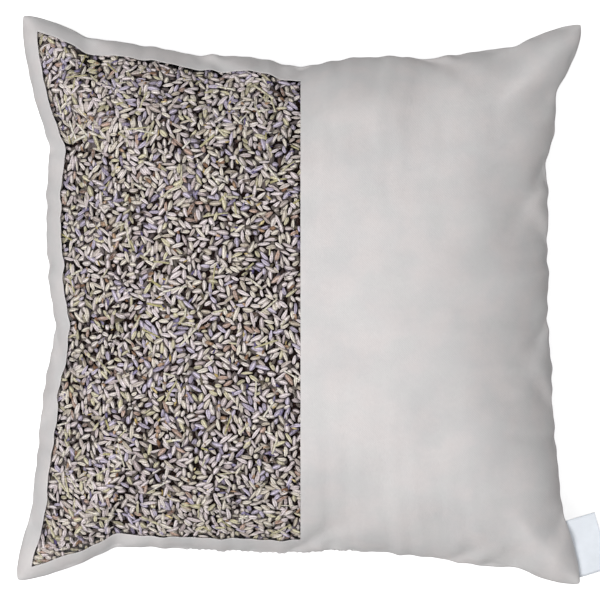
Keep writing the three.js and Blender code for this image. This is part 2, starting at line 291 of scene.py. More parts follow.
def smooth(low, high, value):
    """0 below low, 1 above high, and an even rise between them."""
    t = np.clip((value - low) / (high - low), 0, 1)
    return t * t * (3 - 2 * t)


def unit(vectors):
    """Vectors drawn out or in to a length of 1."""
    return vectors / np.maximum(np.linalg.norm(vectors, axis=-1, keepdims=True), TINY)


def cubic_weights(f):
    """How much each of four points in a row counts at a share f between the middle two."""
    return (
        0.5 * (-f + 2 * f * f - f ** 3),
        0.5 * (2 - 5 * f * f + 3 * f ** 3),
        0.5 * (f + 4 * f * f - 3 * f ** 3),
        0.5 * (f ** 3 - f * f),
    )


def read_grid(grid, s, t):
    """A smooth reading of a square grid of vectors at shares s and t."""
    steps = grid.shape[0] - 1
    x = np.clip(s, 0, 1) * steps
    y = np.clip(t, 0, 1) * steps
    i = np.minimum(x.astype(int), steps - 1)
    j = np.minimum(y.astype(int), steps - 1)
    across = cubic_weights(x - i)
    upwards = cubic_weights(y - j)
    total = 0
    for b in range(4):
        row = np.clip(j + b - 1, 0, steps)
        for a in range(4):
            column = np.clip(i + a - 1, 0, steps)
            total = total + (across[a] * upwards[b])[..., None] * grid[row, column]
    return total


def halved(rising, target):
    """Where a rising function of a share meets each target."""
    low, high = np.zeros_like(target), np.ones_like(target)
    for _ in range(HALVINGS):
        middle = (low + high) / 2
        above = rising(middle) > target
        high = np.where(above, middle, high)
        low = np.where(above, low, middle)
    return (low + high) / 2


def puckered_sides(a, b, width, height):
    """For each side: its puckers, the shares along it and inward from it of a place a and b,
    its length, and the distance to the side across from it."""
    return (
        (TOP_PUCKER_SHARES, a, 1 - b, width, height),
        (BOTTOM_PUCKER_SHARES, a, b, width, height),
        (LEFT_PUCKER_SHARES, 1 - b, a, height, width),
        (RIGHT_PUCKER_SHARES, 1 - b, 1 - a, height, width),
    )


class Cover:
    """The cover's two outer faces as functions of two shares: u across it and v upwards.

    side is 1 for the front and -1 for the back. s and t are the same place in shares of the
    flat panel, which bunches up towards the seam where the faces are steep."""

    def __init__(self, width, height, flat, front_rise, seam_height, back_depth, corner_droop):
        self.width = width
        self.height = height
        self.flat = flat
        self.rises = {1: front_rise, -1: back_depth}
        self.seam_height = seam_height
        self.corner_droop = corner_droop
        self.movement = {}
        self.measure_profile()

    def seam_side(self, name, along):
        """One side of the seam in plan."""
        start, end, puckers, inward, seed = SEAM_SIDES[name]
        ripple = waves(along * self.width, RIPPLE_LENGTHS, seed) * 4 * along * (1 - along)
        inset = softened(puckers, along) + ripple * RIPPLE_DEPTH / self.width
        x = self.width * (start[0] + (end[0] - start[0]) * along + inward[0] * inset)
        y = self.height * (start[1] + (end[1] - start[1]) * along + inward[1] * inset)
        return np.stack((x, y), -1)

    def plan(self, u, v):
        """The place in plan, spread between the four sides."""
        u, v = np.broadcast_arrays(np.asarray(u, float), np.asarray(v, float))
        corners = [
            np.array(share) * (self.width, self.height)
            for share in (BOTTOM_LEFT_SHARE, BOTTOM_RIGHT_SHARE, TOP_LEFT_SHARE, TOP_RIGHT_SHARE)
        ]
        across, upwards = u[..., None], v[..., None]
        low = corners[0] + (corners[1] - corners[0]) * across
        high = corners[2] + (corners[3] - corners[2]) * across
        left, right = self.seam_side("left", 1 - v), self.seam_side("right", 1 - v)
        bottom, top = self.seam_side("bottom", u), self.seam_side("top", u)
        return (
            left + (right - left) * across
            + bottom + (top - bottom) * upwards
            - low - (high - low) * upwards
        )

    def level(self, u, v):
        """The height of the seam, level but for its hanging corners."""
        return self.seam_height - self.corner_droop * np.abs((2 * u - 1) * (2 * v - 1)) ** DROOP_POWER

    def crown(self, side, u, v):
        """How high a face stands, from 0 at the seam to 1 in the middle."""
        power, fullness = CROWNS[side]
        across = np.maximum(0, 1 - np.abs(2 * u - 1) ** PROFILE_POWER)
        upwards = np.maximum(0, 1 - np.abs(2 * v - 1) ** PROFILE_POWER)
        both = across * upwards
        larger = across ** CORNER_POWER + upwards ** CORNER_POWER - both ** CORNER_POWER
        return (both / np.maximum(larger, TINY) ** (fullness / CORNER_POWER)) ** power

    def dents(self, u, v):
        """How deep the dents at the puckers are."""
        squares = 0
        for puckers, along, inward, length, across in puckered_sides(u, v, self.width, self.height):
            reach = inward * across / DENT_REACH
            for place, _, _ in puckers[:-1]:
                sideways = (along - place) * length / DENT_WIDTH
                squares = squares + (DENT_DEPTH * reach * np.exp(1 - reach - sideways ** 2)) ** 2
        return np.sqrt(squares)

    def bare(self, side, u, v):
        """A face as it is before the simulation."""
        rise = self.rises[side] * self.crown(side, u, v)
        rise = np.hypot(np.maximum(0, rise - self.dents(u, v)), LIP_HEIGHT)
        height = self.level(u, v) + side * rise
        if side < 0:
            height = np.maximum(0, height)
        return np.concatenate((self.plan(u, v), height[..., None]), -1)

    def measure_profile(self):
        """Measures the front along its middle, to know how the flat panel lies on it."""
        u = np.linspace(0, 1, TABLE_STEPS + 1)
        points = self.bare(1, u, np.full_like(u, 0.5))
        lengths = np.linalg.norm(np.diff(points, axis=0), axis=1)
        total = np.concatenate(([0], np.cumsum(lengths)))
        half = total / total[-1]
        self.profile_shares = u
        self.profile_lengths = (half + 1 - half[::-1]) / 2

    def pull(self, share):
        """How much of the front's own profile a line across it follows, from its share along the side."""
        return np.maximum(0, 1 - np.abs(2 * share - 1) ** PROFILE_POWER) ** FRONT_POWER

    def flat_share(self, share, pull):
        """A share of the cover as a share of the flat panel, along a line with a given pull."""
        return share + pull * (np.interp(share, self.profile_shares, self.profile_lengths) - share)

    def flat_shares(self, u, v):
        """The flat panel's shares s and t at a place u and v."""
        return self.flat_share(u, self.pull(v)), self.flat_share(v, self.pull(u))

    def shares_at(self, s, t):
        """The place u and v of a point of the flat panel, found by halving."""
        u, v = s.copy(), t.copy()
        for _ in range(SHARE_ROUNDS):
            pull = self.pull(v)
            u = halved(lambda x: self.flat_share(x, pull), s)
            pull = self.pull(u)
            v = halved(lambda x: self.flat_share(x, pull), t)
        return u, v

    def face(self, side, u, v):
        """A finished face: as the simulation left it, with its relief, and resting on the floor."""
        u, v = np.broadcast_arrays(np.asarray(u, float), np.asarray(v, float))
        points = self.bare(side, u, v)
        if side in self.movement:
            points = points + read_grid(self.movement[side], *self.flat_shares(u, v))
        points = points + self.relief(side, u, v)
        if side < 0:
            points[..., 2] = (points[..., 2] + np.hypot(points[..., 2], REST_SOFTNESS)) / 2
        return points

    def relief(self, side, u, v):
        """The lumps, gathers and creases. They fade out at the seam."""
        s, t = self.flat_shares(u, v)
        x, y = s * self.flat, t * self.flat
        total = LUMP_DEPTH * lumps(x, y, LUMP_SIZE, LUMP_SEED + side)
        near = np.ones_like(x)
        edges = ((x, y), (self.flat - x, y), (y, x), (self.flat - y, x))
        for seed, (inward, along) in enumerate(edges, GATHER_SEED):
            start = smooth(0, GATHER_START, inward)
            fade = np.exp(-inward / GATHER_REACH) * start
            total = total + GATHER_DEPTH * fade * waves(along, GATHER_LENGTHS, seed + len(edges) * side)
            near = near * start
        total = total - self.creases(s, t)
        return (total * near)[..., None] * self.bare_normal(side, u, v)

    def creases(self, s, t):
        """How deep the creases are that run in from the puckers and fan out."""
        total = 0
        for puckers, along, inward, length, across in puckered_sides(s, t, self.flat, self.flat):
            inward = inward * across
            reach = inward / CREASE_REACH
            for number, (place, _, _) in enumerate(puckers[:-1]):
                lean = CREASE_LEANS[number % len(CREASE_LEANS)]
                sideways = (along - place) * length - lean * inward
                width = CREASE_WIDTH + CREASE_SPREAD * inward
                total = total + reach * np.exp(1 - reach - (sideways / width) ** 2)
        return CREASE_DEPTH * total

    def bare_normal(self, side, u, v):
        """The outward normal of a face as it is before the simulation."""
        return self.normal_of(self.bare, side, u, v)

    def normal(self, side, u, v):
        """A finished face's outward normal."""
        return self.normal_of(self.face, side, u, v)

    def normal_of(self, surface, side, u, v):
        """The outward normal of a surface, from its slopes across and upwards."""
        du = np.clip(np.minimum(u, 1 - u) / 4, *SLOPE_STEPS)
        dv = np.clip(np.minimum(v, 1 - v) / 4, *SLOPE_STEPS)
        along_u = surface(side, u + du, v) - surface(side, u - du, v)
        along_v = surface(side, u, v + dv) - surface(side, u, v - dv)
        return side * unit(np.cross(along_u, along_v))

    def inset_place(self, a, b, inset, rounding):
        """Shares of a point of the square -1 to 1, set in from the seam and rounded off at its corners."""
        near = np.abs(a * b)
        pull = 2 * (inset + rounding * near ** ROUNDING_POWER + TIP_ROUNDING * near ** TIP_POWER)
        return (1 + a * (1 - pull / self.width)) / 2, (1 + b * (1 - pull / self.height)) / 2


def blown_up(points, faces, seam):
    """Where a closed cloth's points go when it is blown up and its seam's points are held."""
    trial = mesh_object("inflating_cover", points, faces)
    trial.vertex_groups.new(name="seam").add(seam.tolist(), 1.0, "REPLACE")
    cloth = trial.modifiers.new("cloth", "CLOTH")
    for name, value in CLOTH_SETTINGS.items():
        setattr(cloth.settings, name, value)
    cloth.settings.effector_weights.gravity = 0
    cloth.collision_settings.use_collision = False
    cloth.point_cache.frame_start = 1
    cloth.point_cache.frame_end = INFLATE_FRAMES
    scene = bpy.context.scene
    for number in range(1, INFLATE_FRAMES + 1):
        scene.frame_set(number)
    made = trial.evaluated_get(bpy.context.evaluated_depsgraph_get()).data
    moved = np.empty(len(points) * 3, np.float32)
    made.vertices.foreach_get("co", moved)
    scene.frame_set(1)
    bpy.data.objects.remove(trial)
    return moved.reshape(-1, 3).astype(float)


def inflate(cover):
    """Blows up the two panels as one cloth, and keeps how far each point moved."""
    places = np.linspace(0, 1, FLAT_STEPS + 1)
    s, t = np.meshgrid(places, places)
    u, v = cover.shares_at(s, t)
    starts = {side: cover.bare(side, u, v) for side in (1, -1)}
    inner = np.zeros(s.shape, bool)
    inner[1:-1, 1:-1] = True
    numbers = {1: np.arange(s.size).reshape(s.shape)}
    numbers[-1] = numbers[1].copy()
    numbers[-1][inner] = s.size + np.arange(inner.sum())
    points = np.concatenate((starts[1].reshape(-1, 3), starts[-1][inner]))
    faces = np.concatenate([grid_quads(numbers[1]), grid_quads(numbers[-1])[:, ::-1]])
    moved = blown_up(points, faces, numbers[1][~inner])
    for side, start in starts.items():
        step = (moved[numbers[side]] - start) * inner[..., None]
        length = np.linalg.norm(step, axis=-1, keepdims=True)
        cap = MOST_MOVEMENT * np.tanh(length / MOST_MOVEMENT) / np.maximum(length, TINY)
        cover.movement[side] = smoothed(step * cap)


def smoothed(grid):
    """A grid of movements with its sharp creases softened, and its rim kept."""
    for _ in range(SMOOTHINGS):
        for axis in (0, 1):
            near = np.moveaxis(grid, axis, 0)
            near[1:-1] = (near[:-2] + 2 * near[1:-1] + near[2:]) / 4
    return grid


@functools.cache
def inflated_cover(*lengths):
    """A cover of given sizes, blown up once and then shared by the operators."""
    cover = Cover(*lengths)
    inflate(cover)
    return cover


def shaped_cover():
    """The cover's shape at the sizes that the scene holds."""
    sizes = bpy.context.scene.sachet_cover
    return inflated_cover(
        sizes.width, sizes.height, sizes.flat, sizes.front_rise, sizes.seam_height,
        sizes.back_depth, sizes.corner_droop,
    )


def grid_quads(numbers):
    """The four-cornered faces of a grid of point numbers, facing up where it runs right and up."""
    corners = (numbers[:-1, :-1], numbers[:-1, 1:], numbers[1:, 1:], numbers[1:, :-1])
    return np.stack([corner.ravel() for corner in corners], -1)


def rounded(numbers):
    """A grid of numbers whose rows close on themselves."""
    return np.concatenate((numbers, numbers[:, :1]), axis=1)


def mesh_object(name, points, quads=(), triangles=()):
    """A new smooth object from arrays of points and faces."""
    quads = np.asarray(quads, int).reshape(-1, 4)
    triangles = np.asarray(triangles, int).reshape(-1, 3)
    mesh = bpy.data.meshes.new(name)
    mesh.vertices.add(len(points))
    mesh.vertices.foreach_set("co", np.asarray(points, np.float32).ravel())
    corners = np.concatenate((quads.ravel(), triangles.ravel())).astype(np.int32)
    sizes = np.concatenate((np.full(len(quads), 4), np.full(len(triangles), 3)))
    mesh.loops.add(len(corners))
    mesh.loops.foreach_set("vertex_index", corners)
    mesh.polygons.add(len(sizes))
    starts = np.concatenate(([0], np.cumsum(sizes)[:-1])).astype(np.int32)
    mesh.polygons.foreach_set("loop_start", starts)
    mesh.polygons.foreach_set("use_smooth", np.ones(len(sizes), bool))
    mesh.update(calc_edges=True)
    mesh.validate()
    made = bpy.data.objects.new(name, mesh)
    bpy.context.scene.collection.objects.link(made)
    return made


def store(made, name, values):
    """Keeps a number or a vector at each point of a piece, for its material to read."""
    kind, key = ("FLOAT", "value") if values.ndim == 1 else ("FLOAT_VECTOR", "vector")
    attribute = made.data.attributes.new(name, kind, "POINT")
    attribute.data.foreach_set(key, values.astype(np.float32).ravel())


class Shell:
    """Gathers the points and faces of one piece, and the numbers kept at its points."""

    def __init__(self):
        self.points, self.quads, self.triangles = [], [], []
        self.values = {}
        self.count = 0

    def add(self, points):
        """Adds an array of points and gives their numbers in the same layout."""
        numbers = self.count + np.arange(points[..., 0].size).reshape(points.shape[:-1])
        self.points.append(points.reshape(-1, 3))
        self.count += numbers.size
        return numbers

    def sheet(self, numbers, up=True, kept=None):
        """Faces over a grid of numbers, apart from those that kept leaves out."""
        quads = grid_quads(numbers)
        if kept is not None:
            quads = quads[kept.ravel()]
        self.quads.append(quads if up else quads[:, ::-1])

    def band(self, upper, lower, outside=True):
        """Faces between two closed lines of numbers that run anticlockwise, seen from outside."""
        if not outside:
            upper, lower = lower, upper
        upper, lower = np.append(upper, upper[0]), np.append(lower, lower[0])
        self.quads.append(np.stack((upper[:-1], lower[:-1], lower[1:], upper[1:]), -1))

    def scatter(self, points, quads, triangles, values):
        """Adds copies of one form: points is copies by points by 3, and each of the named
        values holds a number for each point."""
        first = self.add(points)[:, :1, None]
        self.quads.append((quads[None] + first).reshape(-1, 4))
        self.triangles.append((triangles[None] + first).reshape(-1, 3))
        for name, value in values.items():
            self.values.setdefault(name, []).append(value.ravel())

    def object(self, name, material):
        """The finished piece."""
        triangles = np.concatenate(self.triangles) if self.triangles else ()
        made = mesh_object(name, np.concatenate(self.points), np.concatenate(self.quads), triangles)
        for key, values in self.values.items():
            store(made, key, np.concatenate(values))
        made.data.materials.append(material)
        return made


def perimeter(rows, columns):
    """The row and column numbers round a grid, anticlockwise from its lower left corner."""
    across, upwards = np.arange(columns - 1), np.arange(rows - 1)
    row = np.concatenate((
        np.zeros(columns - 1, int), upwards, np.full(columns - 1, rows - 1), rows - 1 - upwards,
    ))
    column = np.concatenate((
        across, np.full(rows - 1, columns - 1), columns - 1 - across, np.zeros(rows - 1, int),
    ))
    return row, column


# The fineness of the panels, and where the window's straight edge stands
STEEP_POWER = 1.6
STEEP_STEPS = 14
OPEN_STEP = 1.35 * MM
BACK_STEP = 2.0 * MM
EDGE_SHARE = 0.5
EDGE_PULL = 0.35 * MM
EDGE_ROUNDS = 8

# The cloth's path at the seam, from the allowance's raw edge out to the face: how far each
# ring is set in, and how high it lies over the seam's level
OUTER_RINGS = ((2.0 * MM, 0.15 * MM), (1.2 * MM, 0.18 * MM), (0.6 * MM, 0.32 * MM), (0.15 * MM, 0.75 * MM))
INNER_RINGS = ((2.2 * MM, 0.75 * MM), (1.6 * MM, 0.8 * MM))
OUTER_RAW_LIFT = 0.15 * MM
INNER_RAW_LIFT = 0.75 * MM
ALLOWANCE_ROUNDING = 3.5 * MM
HEM_STEPS = 5
HEM_SHARE = 0.45


def steep_stops(width, count):
    """Insets from the seam to width, closest at the seam, where the face is steepest."""
    return width * (np.arange(1, count + 1) / count) ** STEEP_POWER


def grid_stops(length, lower, upper, step, split=None):
    """Places from 0 to 1 over a length, stepped more closely in both margins, and the numbers
    of the places where the margins end and where the split is."""
    low = steep_stops(lower, STEEP_STEPS)
    high = length - steep_stops(upper, STEEP_STEPS)[::-1]
    marks = [low[-1], high[0]] if split is None else [low[-1], split * length, high[0]]
    stops, numbers = low, [STEEP_STEPS - 1]
    for start, end in zip(marks[:-1], marks[1:]):
        count = max(2, round((end - start) / step))
        stops = np.concatenate((stops, np.linspace(start, end, count + 1)[1:]))
        numbers.append(len(stops) - 1)
    return np.concatenate((stops, high[1:])) / length, numbers


def seam_ring(cover, a, b, inset, rounding, lift):
    """A line at the seam's level, raised by lift, through places of the square -1 to 1."""
    u, v = cover.inset_place(a, b, inset, rounding)
    return np.concatenate((cover.plan(u, v), (cover.level(u, v) + lift)[..., None]), -1)


def straight_edge(cover, v, x):
    """The share u at which the front lies at x, for each share v."""
    u = np.full_like(v, EDGE_SHARE)
    for _ in range(EDGE_ROUNDS):
        u = u - (cover.face(1, u, v)[..., 0] - x) / cover.width
    return u


def front_grid(cover, window):
    """The front panel's grid of places, whose lines follow the window, and the window's
    first and last rows and columns."""
    side, lower = window.side_margin, window.lower_margin
    stops_u, columns = grid_stops(cover.width, side, side, OPEN_STEP, EDGE_SHARE)
    stops_v, rows = grid_stops(cover.height, lower, side, OPEN_STEP)
    u, v = np.meshgrid(stops_u, stops_v)
    edge = straight_edge(cover, stops_v, EDGE_PULL)[:, None]
    start, end = stops_u[columns[0]], stops_u[columns[2]]
    left = start + (u - start) * (edge - start) / (EDGE_SHARE - start)
    right = end - (end - u) * (end - edge) / (end - EDGE_SHARE)
    u = np.where((u < start) | (u > end), u, np.where(u < EDGE_SHARE, left, right))
    return u, v, (rows, columns[:2])


def back_grid(cover, window):
    """The back panel's grid of places."""
    side = window.side_margin
    stops_u, _ = grid_stops(cover.width, side, side, BACK_STEP)
    stops_v, _ = grid_stops(cover.height, side, side, BACK_STEP)
    return np.meshgrid(stops_u, stops_v)


def cover_panel(cover, side, cloth, allowance, u, v, window=None):
    """One cotton panel with its allowance: two skins joined at the raw edge and at the window.

    u and v are the grid of its places. window gives its first and last rows and columns."""
    row, column = perimeter(*u.shape)
    a, b = 2 * u - 1, 2 * v - 1
    u, v = cover.inset_place(a, b, inset=0, rounding=0)
    a, b = a[row, column], b[row, column]
    reach = np.maximum(np.abs(a), np.abs(b))
    a, b = a / reach, b / reach
    outer = cover.face(side, u, v)
    thickness = np.full(u.shape, cloth)
    kept = None
    if window is not None:
        (first_row, last_row), (first_column, last_column) = window
        thickness[first_row:last_row + 1, first_column:last_column + 1] = HEM_SHARE * cloth
        kept = np.ones((u.shape[0] - 1, u.shape[1] - 1), bool)
        kept[first_row:last_row, first_column:last_column] = False
    inner = outer - thickness[..., None] * cover.normal(side, u, v)
    shell = Shell()
    skins = []
    for points, rings, raw_lift in (
        (outer, OUTER_RINGS, OUTER_RAW_LIFT), (inner, INNER_RINGS, INNER_RAW_LIFT),
    ):
        numbers = shell.add(points)
        lines = [shell.add(seam_ring(cover, a, b, allowance, ALLOWANCE_ROUNDING, side * raw_lift))]
        for inset, lift in rings:
            lines.append(shell.add(seam_ring(cover, a, b, inset, 0, side * lift)))
        lines.append(numbers[row, column])
        skins.append((numbers, lines))
    for (numbers, lines), outside in zip(skins, (side > 0, side < 0)):
        shell.sheet(numbers, outside, kept)
        for lower, upper in zip(lines[:-1], lines[1:]):
            shell.band(upper, lower, outside)
    (outer_numbers, outer_lines), (inner_numbers, inner_lines) = skins
    shell.band(outer_lines[0], inner_lines[0], side > 0)
    if window is not None:
        hem(shell, outer_numbers, inner_numbers, outer, inner, window)
    return shell


def hem(shell, outer_numbers, inner_numbers, outer, inner, window):
    """The rounded edge of the cloth round the window."""
    (first_row, last_row), (first_column, last_column) = window
    row, column = perimeter(last_row - first_row + 1, last_column - first_column + 1)
    row, column = row + first_row, column + first_column
    top, bottom = outer[row, column], inner[row, column]
    ahead = unit(np.roll(top, -1, axis=0) - np.roll(top, 1, axis=0))
    into = unit(np.cross(unit(top - bottom), ahead))
    lines = [outer_numbers[row, column]]
    middle, radius = (top + bottom) / 2, (top - bottom) / 2
    swell = np.linalg.norm(radius, axis=-1, keepdims=True)
    for step in range(1, HEM_STEPS):
        angle = math.pi * step / HEM_STEPS
        lines.append(shell.add(middle + radius * math.cos(angle) + into * swell * math.sin(angle)))
    lines.append(inner_numbers[row, column])
    for upper, lower in zip(lines[:-1], lines[1:]):
        shell.band(lower, upper)


# The net and the stay tape: how far under the front they lie, how thick they are, and how far
# in from the seam they start. The net is finer near the seam.
NET_DEPTH = 0.85 * MM
NET_THICKNESS = 0.12 * MM
NET_INSET = 3 * MM
NET_STEP = 2.2 * MM
NET_POWER = 1.25
TAPE_DEPTH = 1.7 * MM
TAPE_THICKNESS = 0.4 * MM
TAPE_INSET = 5 * MM
TAPE_SETBACK = 1.5 * MM
TAPE_COLUMNS = 7


def laid_sheet(cover, u, v, depth, thickness):
    """A thin closed sheet under the front, over a grid of places."""
    v = np.broadcast_to(v[:, None], u.shape)
    face = cover.face(1, u, v)
    down = -cover.normal(1, u, v)
    shell = Shell()
    upper = shell.add(face + depth * down)
    lower = shell.add(face + (depth + thickness) * down)
    shell.sheet(upper)
    shell.sheet(lower, up=False)
    row, column = perimeter(*u.shape)
    shell.band(upper[row, column], lower[row, column])
    return shell


def net_sheet(cover, window):
    """The net, from the seam to behind the straight edge."""
    rows = round((cover.height - 2 * NET_INSET) / NET_STEP)
    columns = round((cover.width / 2 + window.net_overlap) / NET_STEP)
    v = np.linspace(NET_INSET, cover.height - NET_INSET, rows) / cover.height
    start = NET_INSET / cover.width
    end = straight_edge(cover, v, window.net_overlap)[:, None]
    u = start + (end - start) * np.linspace(0, 1, columns)[None, :] ** NET_POWER
    return laid_sheet(cover, u, v, NET_DEPTH, NET_THICKNESS)


def tape_sheet(cover, window):
    """The stay tape under the net, just behind the straight edge."""
    rows = round((cover.height - 2 * TAPE_INSET) / NET_STEP)
    v = np.linspace(TAPE_INSET, cover.height - TAPE_INSET, rows) / cover.height
    near = straight_edge(cover, v, TAPE_SETBACK)[:, None]
    far = straight_edge(cover, v, TAPE_SETBACK + window.tape_width)[:, None]
    u = near + (far - near) * np.linspace(0, 1, TAPE_COLUMNS)[None, :]
    return laid_sheet(cover, u, v, TAPE_DEPTH, TAPE_THICKNESS)


# The filling's body, under the buds that show. It lies deeper under the window than under
# the cotton, and goes from one depth to the other near the straight edge.
BED_STEPS = 96
BED_INSET = 9 * MM
BED_ROUNDING = 6 * MM
BED_RIDGE_INSET = 8 * MM
BED_DEPTH = 5.2 * MM
BED_CLOTH_DEPTH = 2.8 * MM
BED_BACK_DEPTH = 1.2 * MM
BED_EDGE_REACH = 3 * MM
BED_LUMP = 0.5 * MM
BED_LUMP_SIZE = 7 * MM
BED_SEED = 3


def bed_shell(cover):
    """The filling's body: it reaches from face to face, with a ridge that points at the seam."""
    places = np.linspace(-1, 1, BED_STEPS + 1)
    a, b = np.meshgrid(places, places)
    u, v = cover.inset_place(a, b, BED_INSET, BED_ROUNDING)
    front, back = cover.face(1, u, v), cover.face(-1, u, v)
    x, y = front[..., 0], front[..., 1]
    open_share = 1 - smooth(-BED_EDGE_REACH, BED_EDGE_REACH, x)
    depth = BED_CLOTH_DEPTH + (BED_DEPTH - BED_CLOTH_DEPTH) * open_share
    depth = depth + BED_LUMP * open_share * lumps(x, y, BED_LUMP_SIZE, BED_SEED)
    row, column = perimeter(*u.shape)
    shell = Shell()
    upper = shell.add(front - depth[..., None] * cover.normal(1, u, v))
    lower = shell.add(back - BED_BACK_DEPTH * cover.normal(-1, u, v))
    ridge = shell.add(
        seam_ring(cover, a[row, column], b[row, column], BED_RIDGE_INSET, BED_ROUNDING, lift=0)
    )
    shell.sheet(upper)
    shell.sheet(lower, up=False)
    shell.band(upper[row, column], ridge)
    shell.band(ridge, lower[row, column])
    return shell


# A bud: how thick it is along its length, from its stalk end to its mouth, where its two tips are,
# how its tips are marked for the painted shade of the grooves, which falls fully on the mouth's tip,
# how deep its ribs are, and how much each bud is bent, flattened and fattened at one end
BUD_PROFILE = ((0.0, 0.26), (0.14, 0.66), (0.38, 0.96), (0.66, 1.0), (0.88, 0.72), (1.0, 0.34))
BUD_TIPS = (-0.53, 0.515)
BUD_TIP_RIBS = (0.5, 0.0)
BUD_SIDES = 8
BUD_RIB = 0.16
BUD_BEND = 0.1
BUD_FLATNESS = (0.72, 1.0)
BUD_FATNESS = 0.25

# The spread of the buds' sizes: its width, and the least and most size
BUD_LENGTH_SPREAD = (0.22, 0.5, 1.5)
BUD_WIDTH_SPREAD = (0.15, 0.65, 1.4)

# The kinds of buds: the share of each, and the two colours that its buds lie between.
# Most buds have a tone near the second colour.
BUD_KINDS = (
    ("stone", 0.26, (0.56, 0.475, 0.43), (1.0, 0.925, 0.885)),
    ("mauve", 0.27, (0.54, 0.445, 0.455), (1.0, 0.905, 0.93)),
    ("straw", 0.22, (0.52, 0.445, 0.34), (1.0, 0.935, 0.81)),
    ("sage", 0.08, (0.38, 0.35, 0.20), (0.88, 0.82, 0.54)),
    ("violet", 0.13, (0.22, 0.18, 0.33), (0.74, 0.67, 0.86)),
    ("rust", 0.04, (0.18, 0.09, 0.055), (0.66, 0.44, 0.34)),
)
TONE_POWER = 2.7

# The buds lie in layers: how far apart, as a share of a bud's length, how deep, and how much painted shade
# darkens its buds
LAYERS = ((0.55, 0.0, 0.0), (0.66, 1.3 * MM, 0.82), (0.85, 2.5 * MM, 0.98))
DEPTH_SPREAD = 0.5 * MM
EDGE_ROOM = 3.0 * MM
SCATTER_ROOM = 4 * MM
SCATTER_TRIES = 9
NET_GAP = 0.12 * MM
UNDER_NET = NET_DEPTH + NET_THICKNESS + NET_GAP
TILT = math.radians(21)
TILT_REACH = 0.8

# How the buds are pushed apart: each is a row of beads along its length
SETTLE_ROUNDS = 40
NEIGHBOUR_ROUNDS = 10
NEIGHBOUR_LENGTHS = 1.3
BEAD_SHARES = np.array([-0.36, -0.12, 0.12, 0.36])
SETTLE_STEP = 0.16
SETTLE_TURN = 1.2
FRAME_STEP = 0.4 * MM


def bud_template():
    """A bud of unit length and unit radius along X: its points, its faces, and for each point
    its share along the bud and whether it is on a rib or in a groove."""
    angles = 2 * math.pi * np.arange(BUD_SIDES) / BUD_SIDES
    ribbed = 1.0 - np.arange(BUD_SIDES) % 2
    rib = 1 + BUD_RIB * (2 * ribbed - 1)
    points = [
        np.stack((
            np.full(BUD_SIDES, place - 0.5), radius * rib * np.cos(angles), radius * rib * np.sin(angles),
        ), -1)
        for place, radius in BUD_PROFILE
    ]
    points.append(np.array([[tip, 0, 0] for tip in BUD_TIPS]))
    rings = len(BUD_PROFILE)
    along = np.concatenate((np.repeat([place for place, _ in BUD_PROFILE], BUD_SIDES), [0.0, 1.0]))
    ribs = np.concatenate((np.tile(ribbed, rings), BUD_TIP_RIBS))
    closed = rounded(np.arange(rings * BUD_SIDES).reshape(rings, BUD_SIDES))
    tail, mouth = rings * BUD_SIDES, rings * BUD_SIDES + 1
    first, last = closed[0], closed[-1]
    caps = [(tail, b, a) for a, b in zip(first[:-1], first[1:])]
    caps += [(mouth, a, b) for a, b in zip(last[:-1], last[1:])]
    return np.concatenate(points), grid_quads(closed), np.array(caps), along, ribs


def scattered(rng, width, height, gap):
    """Places on a rectangle, none nearer to another than the gap."""
    cell = gap / math.sqrt(2)
    columns, rows = int(width / cell) + 1, int(height / cell) + 1
    taken = -np.ones((rows, columns), int)
    found = []
    tries = int(SCATTER_TRIES * width * height / gap ** 2)
    for x, y in rng.random((tries, 2)) * (width, height):
        i, j = int(x / cell), int(y / cell)
        near = taken[max(0, j - 2):j + 3, max(0, i - 2):i + 3]
        if all((found[n][0] - x) ** 2 + (found[n][1] - y) ** 2 >= gap * gap for n in near[near >= 0]):
            taken[j, i] = len(found)
            found.append((x, y))
    return np.array(found)


def neighbours(places, reach):
    """The pairs of places nearer than reach."""
    pairs = []
    order = np.argsort(places[:, 0])
    ordered = places[order]
    ends = np.searchsorted(ordered[:, 0], ordered[:, 0] + reach)
    for number, end in enumerate(ends):
        near = np.arange(number + 1, end)
        near = near[np.abs(ordered[near, 1] - ordered[number, 1]) < reach]
        pairs.append(np.stack((np.full(len(near), number), near), -1))
    pairs = np.concatenate(pairs)
    return order[pairs[:, 0]], order[pairs[:, 1]]


def settled(places, angles, lengths, widths):
    """Pushes flat-lying buds apart and turns them until few of them overlap."""
    places, angles = places.copy(), angles.copy()
    for round_number in range(SETTLE_ROUNDS):
        if round_number % NEIGHBOUR_ROUNDS == 0:
            first, second = neighbours(places, NEIGHBOUR_LENGTHS * lengths.max())
        heading = np.stack((np.cos(angles), np.sin(angles)), -1)
        beads = places[:, None] + heading[:, None] * (BEAD_SHARES[:, None] * lengths[:, None, None])
        apart = beads[first][:, :, None] - beads[second][:, None]
        distance = np.maximum(np.linalg.norm(apart, axis=-1), TINY)
        wanted = (widths[first] + widths[second])[:, None, None] / 2
        push = np.maximum(0, wanted - distance)[..., None] * apart / distance[..., None]
        for sign, numbers, force in ((1, first, push.sum(2)), (-1, second, push.sum(1))):
            shift = np.zeros_like(places)
            np.add.at(shift, numbers, sign * force.sum(1) * SETTLE_STEP)
            lever = BEAD_SHARES[None, :] * lengths[numbers][:, None]
            side = np.stack((-heading[numbers][:, 1], heading[numbers][:, 0]), -1)
            twist = (force * side[:, None]).sum(-1) * lever
            turn = np.zeros_like(angles)
            np.add.at(turn, numbers, sign * twist.sum(1) * SETTLE_TURN / lengths[numbers] ** 2)
            places += shift
            angles += turn
    return places, angles


